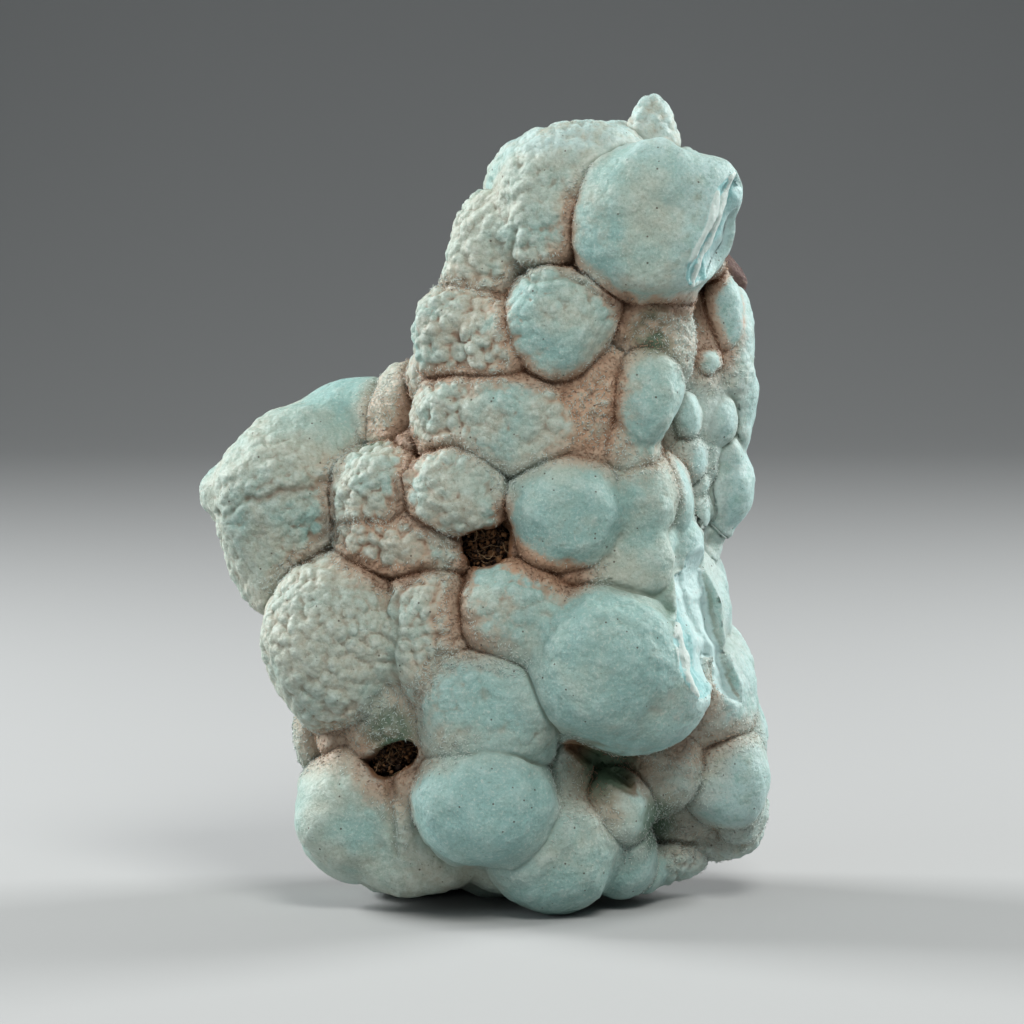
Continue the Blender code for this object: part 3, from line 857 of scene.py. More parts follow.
def pit_depth(points, pit):
    """How deep inside a pit's egg each point is, negative outside it, and the way in from its wall."""
    half = np.array((pit.wide, pit.deep, pit.tall), float)
    distance, out = egg_distance(points, (pit.x, pit.y, pit.z), half, pit.lean)
    return -distance, -out


def rock_side(points):
    """How far behind the plane between crust and rock each point is, and the way back from it."""
    back = (points - (0, CONTACT_Y, 0)) @ CONTACT_NORMAL + GAP / 2
    return back, np.tile(CONTACT_NORMAL, (len(points), 1))


def under_ground(points):
    """How far below the ground each point is, and the way down."""
    return -points[:, 2], np.tile((0.0, 0.0, -1.0), (len(points), 1))


def all_cuts(points):
    """Everything that is taken off the lumps, one part at a time."""
    for spot in BREAKS:
        yield block_depth(points, spot)
    for pit in PITS:
        yield pit_depth(points, pit)
    yield rock_side(points)
    yield under_ground(points)


def crust_field(points):
    """Millimetres outside the crust, and the way out."""
    value, slope, _, _ = join_lumps(points, near_lumps(points, NEAR))
    for depth, inward in all_cuts(points):
        value, slope = take_off(value, slope, depth, inward)
    return value, slope


print("the crust's field there:", crust_field(probe)[0].round(2))

# %% [markdown]
# ## A lattice
#
# A grape-like crust can't be rolled out of one flat sheet: the undercut creases tear such a sheet into
# slivers. A Remesh modifier on the solid would keep the solid's own coarse faces. So the surface is caught
# another way: the distance to the nearest lump is measured on an even lattice of points, and a net is
# knotted where it changes sign.

# %% Measure the lattice
STEP = 0.34  # millimetres between lattice points
LATTICE_LOW = np.array((-45.0, -32.0, -1.5))
LATTICE_HIGH = np.array((45.0, 16.5, 123.0))
BACK_LOW = np.array((-45.0, 9.0, -1.5))  # from here back, the lattice may lie behind the contact plane


def lattice_box(low, high, shape):
    """The part of the crust's lattice between two corners in millimetres: its slices and its points."""
    first = np.clip(np.floor((low - LATTICE_LOW) / STEP).astype(int), 0, shape)
    last = np.clip(np.ceil((high - LATTICE_LOW) / STEP).astype(int) + 1, 0, shape)
    lines = [LATTICE_LOW[k] + STEP * np.arange(first[k], last[k]) for k in range(3)]
    points = np.stack(np.meshgrid(*lines, indexing="ij"), -1).reshape(-1, 3)
    return tuple(slice(first[k], last[k]) for k in range(3)), points


def add_lumps(value):
    """Lowers the values near each lump to the distance to it, where that is the smallest so far."""
    for lump in LUMPS:
        middle, half = lump_box(lump)
        part, points = lattice_box(middle - half - 2 * STEP, middle + half + 2 * STEP, value.shape)
        distance, _ = lump_distance(points, lump)
        value[part] = np.minimum(value[part], distance.reshape(value[part].shape))


def carve(value, low, high, depth_of, *cut):
    """Raises the values between two corners to the depth inside a part that is taken off."""
    part, points = lattice_box(low, high, value.shape)
    depth, _ = depth_of(points, *cut)
    value[part] = np.maximum(value[part], depth.reshape(value[part].shape))


def measure_lattice():
    """The distance to the nearest lump at each lattice point, less the parts that are taken off."""
    shape = np.ceil((LATTICE_HIGH - LATTICE_LOW) / STEP).astype(int)
    value = np.full(shape, 1.0, np.float32)
    add_lumps(value)
    for spot in BREAKS:
        reach = math.hypot(spot.along, spot.across, spot.outward)
        middle = np.array(spot.point) + block_axes(spot)[2] * spot.outward
        carve(value, middle - reach, middle + reach, block_depth, spot)
    for pit in PITS:
        reach = max(pit.wide, pit.deep, pit.tall) + 1
        middle = np.array((pit.x, pit.y, pit.z))
        carve(value, middle - reach, middle + reach, pit_depth, pit)
    carve(value, BACK_LOW, LATTICE_HIGH, rock_side)
    heights = LATTICE_LOW[2] + STEP * np.arange(shape[2])
    return np.maximum(value, -heights.astype(np.float32))


lattice = measure_lattice()
print("lattice:", lattice.shape, "share inside:", round(float((lattice < 0).mean()), 3))

# %% [markdown]
# ## A net round the field
#
# Where a lattice cell has points both inside and outside, the surface passes through it, and the cell gets
# one net point at the mean of the crossings on its edges. Each crossed edge gets one four-cornered face
# between the four cells round it. Cubes cut by tables of triangles would do as well, but this net has fewer
# and squarer faces, is closed, and points outward. Small closed bubbles inside are dropped.

# %% Knot the net
def knot_net(value, low, step):
    """One point in each cell that the surface passes through, one face round each edge that it crosses."""
    strides = (value.shape[1] * value.shape[2], value.shape[2], 1)
    flat = value.ravel()
    rings = []
    crossings = []
    for axis in range(3):
        first = value[tuple(slice(None, -1) if k == axis else slice(None) for k in range(3))]
        second = value[tuple(slice(1, None) if k == axis else slice(None) for k in range(3))]
        cell = np.stack(np.nonzero((first < 0) != (second < 0)), 1)
        start = cell @ np.array(strides)
        before = flat[start]
        after = flat[start + strides[axis]]
        place = cell.astype(float)
        place[:, axis] += before / (before - after)
        beside = strides[(axis + 1) % 3]
        above = strides[(axis + 2) % 3]
        ring = np.stack((start, start - beside, start - beside - above, start - above), 1)
        ring[before > 0] = ring[before > 0, ::-1]
        rings.append(ring)
        crossings.append(np.repeat(place, 4, axis=0))
    _, faces = np.unique(np.concatenate(rings).ravel(), return_inverse=True)
    places = np.concatenate(crossings)
    count = np.bincount(faces)
    points = np.stack([np.bincount(faces, weights=places[:, k]) / count for k in range(3)], 1)
    return low + step * points, faces.reshape(-1, 4)


def largest_part(points, faces):
    """Keeps the largest connected part: every point takes its faces' lowest number until nothing changes."""
    label = np.arange(len(points))
    while True:
        lowest = label.copy()
        np.minimum.at(lowest, faces.ravel(), np.repeat(label[faces].min(1), 4))
        lowest = lowest[lowest]
        if (lowest == label).all():
            break
        label = lowest
    kept = label == np.bincount(label).argmax()
    number = np.cumsum(kept) - 1
    return points[kept], number[faces[kept[faces[:, 0]]]]


rough_points, net_faces = largest_part(*knot_net(lattice, LATTICE_LOW, STEP))
print("net points:", len(rough_points), "faces:", len(net_faces))

# %% [markdown]
# ## Onto the soft field
#
# The lattice only knows the nearest lump, so the net still has sharp creases. Measuring the soft field on
# every lattice point would take minutes; the net has far fewer points. So each net point moves along the
# field's slope by the field's value, a few times over, until it lies on the soft field.

# %% Settle the net
SETTLE_ROUNDS = 3


def settle(points, rounds):
    """Moves points straight onto the field's zero, and gives the way out there."""
    for _ in range(rounds):
        value, slope = crust_field(points)
        steep = (slope**2).sum(1) + 0.05
        points = points - slope * (np.clip(value, -0.8, 0.8) / steep)[:, None]
    return points, slope / (np.linalg.norm(slope, axis=1)[:, None] + 1e-9)


net_points, net_out = settle(rough_points, SETTLE_ROUNDS)
print("settled by, millimetres:", np.linalg.norm(net_points - rough_points, axis=1).mean().round(3))

# %% [markdown]
# ## Stains
#
# Iron stained some creases brown, and a few places are dark green. A painted picture could hold this, but it
# would have to be unwrapped and would blur. Here each is a short list of spots in millimetres, and a formula
# says how strong they are at any point.

# %% List the stains
SPOT_BACK = 4.0  # the spots reach back to this y

# Where iron stained the creases, and where they are dark green: the middle across and up, the radius, and how
# strongly.
Spot = namedtuple("Spot", "x z radius strength")

STAINS = (
    Spot(15.9, 75.6, 8, 1), Spot(2.4, 53.9, 7, 1.2), Spot(-2, 45.6, 7, 0.7), Spot(-9.6, 63.6, 9, 0.7),
    Spot(0, 82, 12, 0.8), Spot(14.4, 101, 6, 0.7), Spot(23.4, 90.6, 7, 0.9), Spot(36, 90, 6, 0.9),
    Spot(34, 84, 5, 0.7), Spot(10.4, 52.6, 5, 1.1), Spot(-27.6, 59, 8, 0.45), Spot(-14, 54.6, 7, 0.9),
    Spot(-14, 22.4, 6, 0.7), Spot(18.9, 20.8, 6, 0.7), Spot(32.4, 27.6, 7, 0.5), Spot(32.4, 9.6, 8, 0.2),
    Spot(-12, 72, 6, 0.7), Spot(-22, 26, 5, 0.5), Spot(-8, 33, 6, 0.4), Spot(26, 66, 6, 0.4),
)
GREENS = (
    Spot(24.9, 95.5, 2.5, 1), Spot(24.9, 86, 3, 1), Spot(-16.4, 68, 2, 1), Spot(29.4, 45.6, 4, 0.8),
    Spot(25.6, 13.4, 3.5, 1), Spot(18.5, 22, 4.5, 1), Spot(-13.8, 27.5, 3.2, 1), Spot(24, 61, 5, 0.4),
)


def spot_strength(points, spots):
    """The strongest of the spots at each point: full strength in the middle, fading out round its radius."""
    strongest = np.zeros(len(points))
    for spot in spots:
        away = np.hypot(points[:, 0] - spot.x, points[:, 2] - spot.z) / spot.radius
        strongest = np.maximum(strongest, spot.strength * (1 - smooth_step(away, 0.4, 1.6)))
    return strongest * (points[:, 1] < SPOT_BACK)


print("stains:", len(STAINS), "green places:", len(GREENS))

# %% [markdown]
# ## Seams
#
# Some lobes have a shallow seam of their own, where no two lumps part. More lumps would make it, but would
# bulge on both sides of it. A line through a few corner points, which wavers a little, leaves the lobe as it
# is.

# %% List the seams
SEAM_WIDE = 0.55  # half width of a drawn seam, in millimetres
SEAM_WAVER = 0.7  # how far a drawn seam wavers
SEAM_BACK = -3.0  # the seams reach back to this y
SEAMS = (  # the corners of each, across and up
    ((-41.7, 58.2), (-32.6, 61.1), (-22.6, 63.3)),
    ((4.6, 100.5), (4.3, 97.6), (6.8, 93.9), (11.2, 94.5), (14.8, 93.6)),
    ((-9.4, 52.6), (-12, 47), (-13.4, 41), (-13, 34)),
    ((-13.4, 20.5), (-13.9, 15), (-13.2, 9.5)),
)


def line_distance(x, z, start, end):
    """How far places across and up are from the straight line between two corners."""
    side = end - start
    along = np.clip(((x - start[0]) * side[0] + (z - start[1]) * side[1]) / (side @ side), 0, 1)
    return np.hypot(x - start[0] - along * side[0], z - start[1] - along * side[1])


def seam_strength(points):
    """1 on the middle line of a seam, fading over its half width; the lines waver a little."""
    x = points[:, 0] + SEAM_WAVER * cloud(points, 2.5, 71)
    z = points[:, 2] + SEAM_WAVER * cloud(points, 2.5, 72)
    nearest = np.full(len(points), 1e9)
    for seam in SEAMS:
        for start, end in zip(np.array(seam[:-1]), np.array(seam[1:])):
            nearest = np.minimum(nearest, line_distance(x, z, start, end))
    return np.exp(-(nearest / SEAM_WIDE) ** 2) * (points[:, 1] < SEAM_BACK)


print("seams:", len(SEAMS))

# %% [markdown]
# ## Growth layers
#
# A broken face shows the crust's growth layers as bands, one behind another, and each broke off at its own
# level. Colour alone could draw the bands, but only real steps catch the light. So a list says where each
# layer starts and how far it stands out.

# %% List the growth layers
LAYER_SLOPE = 0.25  # half width of the slope between two layers, in millimetres

# How far behind the face's front edge each layer starts, and how far its broken face stands out of the
# break, in millimetres.
LAYERS = ((0.0, 0.35), (1.6, -0.3), (3.0, 0.25), (4.6, -0.55), (8.0, -0.2), (11.0, -0.5), (15.0, 0.0))


def layer_steps(behind):
    """How far a broken face stands out at each place behind its front: level layers with short slopes."""
    height = np.full(len(behind), float(LAYERS[0][1]))
    for (_, before), (start, after) in zip(LAYERS[:-1], LAYERS[1:]):
        height += (after - before) * smooth_step(behind, start - LAYER_SLOPE, start + LAYER_SLOPE)
    return height


def near_break(points, spot):
    """1 on a break's own face, 0 off it."""
    depth, inward = block_depth(points, spot)
    faces_out = inward @ block_axes(spot)[2] > 0.9
    return smooth_step(-np.abs(depth), -0.5, -0.2) * faces_out


print("layers:", len(LAYERS))

# %% [markdown]
# ## Marks
#
# Both the relief and the finish need to know what each point of the crust is: how beaded or blue, how deep
# in a crease, on a break or in a pit. Each could work it out again by itself. Instead every net point gets
# a set of numbers once, its marks, which later go onto the mesh as attributes that the materials read.

# %% Work out the marks
BEAD_SHARE = 1.35  # how much of its lump's beading a point gets, before patches thin it out
FINISH_SOFT = 0.9  # millimetres over which two lumps' finishes blend
# Painted light: the right side and the top are painted lighter where the light falls, as well as bluer in
# tone.
ICE_TONE_AND_LIGHT_RIGHT = (25.0, 33.0)  # the crust gets whiter and bluer across this stretch of x
ICE_TONE_AND_LIGHT_TOP = (110.5, 114.0)  # and up this stretch of z


def lump_finish(points, pairs):
    """How beaded, blue and grainy each point is: the near lumps' own numbers, weighted by nearness."""
    total = np.full(len(points), 1e-9)
    sums = np.zeros((len(points), 3))
    for lump, close in pairs:
        distance, _ = lump_distance(points[close], lump)
        share = np.exp(-np.clip(distance, -4, NEAR) / FINISH_SOFT)
        total[close] += share
        sums[close] += share[:, None] * np.array((lump.beads, lump.blue, lump.druse))
    return (sums / total[:, None]).T


def break_marks(points, value):
    """How surely each point lies on a broken face, and how far behind that face's front edge it lies."""
    broken = np.zeros(len(points))
    layer = np.zeros(len(points))
    wavy = 1.1 * cloud(points, 5, 7) + 0.6 * cloud(points, 1.6, 8)
    for spot in BREAKS:
        here = near_break(points, spot) * (value < 0.3)
        broken = np.maximum(broken, here)
        layer = np.where(here > 0, points[:, 1] - spot.front + wavy, layer)
    return broken, layer


def pit_marks(points):
    """How surely each point lies on the wall of a pit, and deep in a pit that holds earth."""
    pit = np.zeros(len(points))
    deep = np.zeros(len(points))
    for hole in PITS:
        wall = smooth_step(pit_depth(points, hole)[0], -1.0, -0.1)
        pit = np.maximum(pit, wall)
        if hole in EARTH_PITS:
            deep = np.maximum(deep, wall * smooth_step(points[:, 1] - hole.y, -5, 0))
    return pit, deep


def lump_marks(points, pairs):
    """What the finish needs to know at each point, from the lumps near it."""
    value, _, crease, halo = join_lumps(points, pairs)
    crease *= 0.8 - 0.5 * patches(points)
    beads, blue, druse = lump_finish(points, pairs)
    beads = np.clip(BEAD_SHARE * beads * (0.75 + 0.5 * cloud(points, 7, 1)), 0, 1.1)
    broken, layer = break_marks(points, value)
    pit, deep = pit_marks(points)
    ice_tone_and_painted_light = np.maximum(smooth_step(points[:, 0], *ICE_TONE_AND_LIGHT_RIGHT), smooth_step(points[:, 2], *ICE_TONE_AND_LIGHT_TOP))
    return {"beads": beads, "blue": blue, "druse": druse, "crease": crease, "halo": halo, "broken": broken,
            "layer": layer, "pit": pit, "deep": deep, "seam": seam_strength(points), "ice_tone_and_painted_light": ice_tone_and_painted_light,
            "stain": spot_strength(points, STAINS), "green": spot_strength(points, GREENS)}


net_marks = lump_marks(net_points, near_lumps(net_points, NEAR))
for mark_name, mark in net_marks.items():
    print(mark_name, np.percentile(mark, (2, 50, 98)).round(2))

# %% [markdown]
# ## Relief of the crust
#
# A Displace modifier could raise the beads, but it knows one texture and one direction at a time. Here the
# net gets its relief along the way out in one sum: beads where the lump's finish asks for them, a thin
# groove along each crease and each drawn seam, slight swells, and grain where crystals cover it. Broken
# faces get the steps of their layers, with shell-shaped scoops behind them. Last of all, every point
# wanders a little, so that no lobe stays perfectly round.

# %% Add the relief
GROOVE = 0.5  # millimetres, the depth of a full crease's groove
SEAM_DEEP = 0.55
WIDE_BEAD = 4.2  # width of the largest beads
COARSE_BEAD = 2.1
FINE_BEAD = 1.2
WIDE_HEIGHT = 0.7
COARSE_HEIGHT = 0.75
FINE_HEIGHT = 0.2
SWELL = 0.3  # height of the slight unevenness of every lobe
GRAIN_HEIGHT = 0.32
WANDER = 0.7  # how far the lobes' outlines wander from round
SCOOP = 7.0  # width of the shell-shaped hollows of a broken face
SCOOP_DEPTH = 1.3
CONTACT_FADE = (9.0, 10.6)  # the relief fades out over this stretch of y, towards the rock
GROUND_FADE = (0.5, 4.0)  # and the wandering up and down over this stretch of z, towards the ground


def relief_height(points, marks):
    """How far the surface stands out of the plain field at each point, in millimetres.

    Grown faces have beads of three sizes, lower in the creases, then swells, grain, grooves and seams. Broken
    faces have the layers' steps, less the scoops, instead.
    """
    open_face = 1 - smooth_step(marks["crease"], 0.05, 0.45)
    wide = smooth_step(cloud(points, 6, 10), -0.1, 0.35)
    grown = wide * WIDE_HEIGHT * bead_relief(points, WIDE_BEAD, 11)
    grown += (1 - 0.6 * wide) * COARSE_HEIGHT * bead_relief(points, COARSE_BEAD, 2)
    grown += FINE_HEIGHT * bead_relief(points, FINE_BEAD, 3) - 0.5 * COARSE_HEIGHT
    grown *= (0.1 + marks["beads"]) * (0.4 + 0.6 * open_face)
    grown += SWELL * cloud(points, 5, 4) + 0.4 * SWELL * cloud(points, 2.1, 5)
    grown += GRAIN_HEIGHT * marks["druse"] * cloud(points, 0.8, 6)
    grown -= GROOVE * np.clip(marks["crease"], 0, 0.6) / 0.5 + SEAM_DEEP * marks["seam"]
    scoops = SCOOP_DEPTH * bead_relief(points, SCOOP, 12) * smooth_step(marks["layer"], 4, 8)
    height = layer_steps(marks["layer"]) - scoops + 0.15 * cloud(points, 1.7, 9)
    return marks["broken"] * height + (1 - marks["broken"]) * grown


def wander(points):
    """How far each point is carried off, so that no lobe stays perfectly round."""
    salts = (21, 22, 23)
    slow = np.stack([cloud(points, 6.5, salt) for salt in salts], 1)
    quick = np.stack([cloud(points, 2.4, salt + 10) for salt in salts], 1)
    return WANDER * (slow * (1, 0.5, 1) + 0.3 * quick)


def raise_net(points, out, marks):
    """The points with relief and wandering; those on the ground stay there, and none goes below."""
    shown = (1 - smooth_step(points[:, 1], *CONTACT_FADE))[:, None]
    drift = shown * wander(points)
    drift[:, 2] *= smooth_step(points[:, 2], *GROUND_FADE)
    raised = points + shown * relief_height(points, marks)[:, None] * out + drift
    raised[:, 2] = np.where(points[:, 2] < 0.05, 0, np.maximum(raised[:, 2], 0))
    return raised


raised = raise_net(net_points, net_out, net_marks)
print("moved, millimetres:", np.percentile(np.linalg.norm(raised - net_points, axis=1), (1, 50, 99)).round(2))

# %% [markdown]
# ## From net to mesh
#
# Faces could be added one by one with bmesh, which takes minutes for half a million of them. The net's whole
# arrays go into the mesh in one stroke instead. If that is more than 196,000 triangles, a Decimate modifier
# merges the flattest ones until at most that many are left, and its result is kept.

# %% Turn the net into a mesh
def fill_mesh(name, points, quads, triangles=()):
    """A mesh from points in millimetres and rows of corner numbers, four and three to a face."""
    quads = np.asarray(quads, np.int32).reshape(-1, 4)
    triangles = np.asarray(triangles, np.int32).reshape(-1, 3)
    mesh = bpy.data.meshes.new(name)
    mesh.vertices.add(len(points))
    mesh.vertices.foreach_set("co", (points * MM).astype(np.float32).ravel())
    mesh.loops.add(quads.size + triangles.size)
    mesh.loops.foreach_set("vertex_index", np.concatenate((quads.ravel(), triangles.ravel())))
    mesh.polygons.add(len(quads) + len(triangles))
    starts = np.concatenate((4 * np.arange(len(quads)), quads.size + 3 * np.arange(len(triangles))))
    mesh.polygons.foreach_set("loop_start", starts.astype(np.int32))
    mesh.update(calc_edges=True)
    mesh.validate()
    return mesh


def add_marks(mesh, marks):
    """Stores each mark as a number on every point of the mesh; points past the marks get 0."""
    for name, values in marks.items():
        full = np.zeros(len(mesh.vertices), np.float32)
        full[:len(values)] = values
        mesh.attributes.new(name, "FLOAT", "POINT").data.foreach_set("value", full)


def make_piece(name, mesh, material):
    """A shown piece of the specimen that carries a mesh."""
    mesh.materials.append(material)
    mesh.shade_smooth()
    piece = bpy.data.objects.new(name, mesh)
    bpy.context.scene.collection.objects.link(piece)
    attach(piece, "root")
    return piece


def thin_out(piece, most):
    """Merges the piece's flattest faces until at most this many triangles are left, and keeps the result."""
    triangles = sum(len(face.vertices) - 2 for face in piece.data.polygons)
    if triangles <= most:
        print(piece.name, "triangles:", triangles)
        return
    modifier = piece.modifiers.new("Thin out", "DECIMATE")
    modifier.ratio = most / triangles
    shown = piece.evaluated_get(bpy.context.evaluated_depsgraph_get())
    thinned = bpy.data.meshes.new_from_object(shown)
    piece.modifiers.clear()
    piece.data = thinned
    print(piece.name, "triangles:", triangles, "thinned to", len(thinned.polygons))


PIECE_MOST = 196000  # triangles

crust_finish = Finish("aragonite")
crust = make_piece("aragonite_crust", fill_mesh("aragonite_crust", raised, net_faces), crust_finish.material)
add_marks(crust.data, net_marks)
thin_out(crust, PIECE_MOST)
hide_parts("aragonite")

# %% [markdown]
# ## Gaps between the beads
#
# The tops of the beads get a painted highlight, paler than the rest of a lobe, and the gaps between them get
# painted shade. The shader could find the gaps with an Ambient Occlusion node, but slowly and with noise. So
# one more mark is measured on the thinned mesh: how far each point lies below its smoothed surroundings.

# %% Measure the gaps
HOLLOW_ROUNDS = 3


def read_points(mesh, kind):
    """One vector for each point of the mesh: its place for "co", in metres, or its way out for "normal"."""
    flat = np.empty(3 * len(mesh.vertices), np.float32)
    mesh.vertices.foreach_get(kind, flat)
    return flat.reshape(-1, 3).astype(float)


def hollow(mesh, rounds):
    """How far each point lies below its surroundings, which each round smooths by a mean along the edges."""
    points = read_points(mesh, "co") / MM
    edges = np.empty(2 * len(mesh.edges), np.int32)
    mesh.edges.foreach_get("vertices", edges)
    here, there = edges.reshape(-1, 2).T
    both = np.concatenate((here, there))
    other = np.concatenate((there, here))
    count = np.bincount(both, minlength=len(points))
    smooth = points
    for _ in range(rounds):
        smooth = np.stack([np.bincount(both, smooth[other, k], len(points)) / count for k in range(3)], 1)
    return ((smooth - points) * read_points(mesh, "normal")).sum(1)


below = hollow(crust.data, HOLLOW_ROUNDS)
add_marks(crust.data, {"hollow": below})
print("hollow", np.percentile(below, (2, 50, 98)).round(2))

# %% [markdown]
# ## Colours of the lobes
#
# The lobes are pale blue-green, bluer in some places and sandy in others. The bead tops get a painted
# highlight and the gaps between beads get painted shade, and the right side and the top are painted lighter
# as well as bluer. A photographed texture would need an unwrapped surface and would stretch over the beads.
# So the colours come from the marks and from noise that is measured in millimetres of space, which fits any
# shape.

# %% Colour the lobes
PALE = (0.36, 0.41, 0.345)
MINT = (0.235, 0.375, 0.34)
SEA_BLUE = (0.205, 0.375, 0.36)
ICE = (0.38, 0.53, 0.52)
WHITE = (0.50, 0.58, 0.54)
SAND = (0.37, 0.325, 0.245)
PAINTED_GAP_SHADE = (0.20, 0.15, 0.10)
GREY_GREEN = (0.16, 0.20, 0.155)


def lobe_colour(finish, place, mottle, grain):
    """The lobes away from their creases: pale to sea blue, sandy in places, with a painted highlight on the
    bead tops, painted shade between the beads, and painted light on the right side and the top, which are
    bluer too.
    """
    blue = finish.attribute("blue")
    hollow_mark = finish.attribute("hollow")
    wide = finish.noise(place, 9, 3)
    colour = finish.blend((blue + (wide - 0.5) * 1.6).between(0.1, 0.7), PALE, MINT)
    colour = finish.blend((blue + (mottle - 0.5) + (wide - 0.5)).between(0.4, 1.1), colour, SEA_BLUE)
    sandy = (finish.noise(place, 5, 4, 0.6) + (0.5 - blue) * 0.5).between(0.43, 0.68)
    colour = finish.blend(sandy * (0.27 + 0.45 * finish.attribute("stain")), colour, SAND)
    # Painted highlight: the bead tops, which stand above their surroundings, are blended towards white.
    top = (0 - hollow_mark).between(0.0, 0.3)
    colour = finish.blend(top * 0.5, colour, WHITE)
    # Painted shade: the gaps between beads are darkened towards brown.
    gap_shade_mask = hollow_mark.between(0.0, 0.25) * finish.attribute("beads").between(0.1, 0.5)
    colour = finish.blend(gap_shade_mask * 0.6, colour, PAINTED_GAP_SHADE)
    # Bluer tone with painted light on the right side and the top.
    colour = finish.blend(finish.attribute("ice_tone_and_painted_light") * mottle.between(0.3, 0.6) * 0.75, colour, ICE)
    colour = finish.blend(grain.between(0.5, 0.72) * 0.55, colour, WHITE)
    return finish.blend((1 - grain).between(0.5, 0.72) * 0.45, colour, GREY_GREEN)


print("lobes from", PALE, "to", SEA_BLUE)

# %% [markdown]
# ## Colours of the creases and pits
#
# Creases hold a dark line with a halo: brown and rosy where iron stained them, and elsewhere a greenish grey
# line of painted shade. The deepest creases and the gaps between beads get painted shade that is nearly
# black. One noise alone would make the halo's edge look airbrushed; a coarse and a fine noise together give
# it crumbs. Pits are brown inside, and a few hollows are dark green.

# %% Colour the creases
ROSY = (0.40, 0.26, 0.17)
BROWN = (0.13, 0.055, 0.025)
PAINTED_CREASE_SHADE = (0.035, 0.018, 0.01)
DARK_GREEN = (0.05, 0.115, 0.07)
PIT_WALL = (0.16, 0.065, 0.022)


def aragonite_colour(finish, place, mottle, crystals):
    """The crust's colour, from its marks and from noise of several sizes."""
    stain = finish.attribute("stain")
    hollow_mark = finish.attribute("hollow")
    halo = finish.attribute("halo")
    colour = lobe_colour(finish, place, mottle, crystals)
    # Rosy dust where crystals cover the crust, and a rosy halo round the creases with a brown band inside it.
    dusty = finish.attribute("druse").between(0.2, 0.9) * (crystals * 0.6 + mottle * 0.4).between(0.36, 0.6)
    colour = finish.blend(dusty * (0.2 + 0.75 * stain), colour, ROSY)
    low = (halo * 2.0 + hollow_mark * 1.5 + (mottle - 0.5) * 0.9 + (crystals - 0.5) * 0.6).between(0.1, 0.75)
    colour = finish.blend(low * (0.15 + 0.8 * stain), colour, ROSY)
    band = (halo * 1.8 + (mottle - 0.5) * 1.3 + (crystals - 0.5) * 0.9).between(0.45, 1.1)
    colour = finish.blend(band * stain.between(0.2, 0.9) * 0.5, colour, BROWN)
    # The crease's own line, the seams and the gaps between beads: painted shade in greenish grey, brown where
    # iron stained them; then painted near-black shade in the deepest of them.
    crease = (finish.attribute("crease") + (mottle - 0.5) * 0.5 + (crystals - 0.5) * 0.5).between(0.1, 0.5)
    seam = (hollow_mark + (crystals - 0.5) * 0.2).between(0.06, 0.3)
    line = crease.most(seam * 0.8).most(finish.attribute("seam") * 0.7)
    colour = finish.blend(line * 0.7 * (1 - stain), colour, GREY_GREEN)
    colour = finish.blend(line * stain.between(0.0, 0.8) * 0.85, colour, BROWN)
    # Painted shade: the deepest creases and gaps between beads go nearly black, stained or not.
    darkest = (finish.attribute("crease") * 0.6 + hollow_mark + (crystals - 0.5) * 0.9).between(0.5, 0.95)
    colour = finish.blend(darkest * 0.8, colour, PAINTED_CREASE_SHADE)
    # The walls of the pits, and the green places in creases and pits.
    pit = (finish.attribute("pit") + (mottle - 0.5) * 0.6).between(0.2, 0.8)
    colour = finish.blend(pit * 0.85, colour, PIT_WALL)
    green = finish.attribute("green") * (crease + low + pit).clamped()
    return finish.blend(green * 0.85, colour, DARK_GREEN), crease


print("creases from", ROSY, "to", PAINTED_CREASE_SHADE)

# %% [markdown]
# ## The aragonite's finish
#
# A felt of tiny crystals covers the lobes, so they are matt, and they are slightly see-through, which a
# little subsurface scattering shows better than a lighter colour would. Dark specks of dirt are scattered
# over them. Broken faces show white and cyan growth layers. The felt is too fine for the mesh, so it is a
# bump.

# %% Finish the aragonite
BROKEN_WHITE = (0.46, 0.54, 0.51)
CYAN = (0.235, 0.455, 0.455)
SPECK = (0.05, 0.03, 0.02)
PIT_BROWN = (0.02, 0.010, 0.005)


def speckle(finish, place, size, radius, kept):
    """Small round specks: a share of the scattered cells has one at its middle."""
    away = finish.cells(place, size)
    number = finish.node("ShaderNodeSeparateColor", {}, {"Color": away.twin("Color")}, "Red")
    return away.between(radius, radius * 0.6) * number.between(1 - kept, 1 - kept + 0.02)


def broken_colour(finish, place, mottle):
    """White and cyan growth layers by their place behind the face's front edge."""
    layer = finish.attribute("layer") + (mottle - 0.5) * 2
    rough = finish.noise(place, 1.1, 3, 0.7)
    colour = finish.blend(layer.between(1.3, 1.9), BROKEN_WHITE, CYAN)
    colour = finish.blend(layer.between(2.7, 3.1), colour, BROKEN_WHITE)
    colour = finish.blend(layer.between(4.2, 4.8), colour, CYAN)
    colour = finish.blend(layer.between(7.0, 11.0), colour, ICE)
    return finish.blend(rough.between(0.5, 0.75) * 0.6, colour, BROKEN_WHITE)


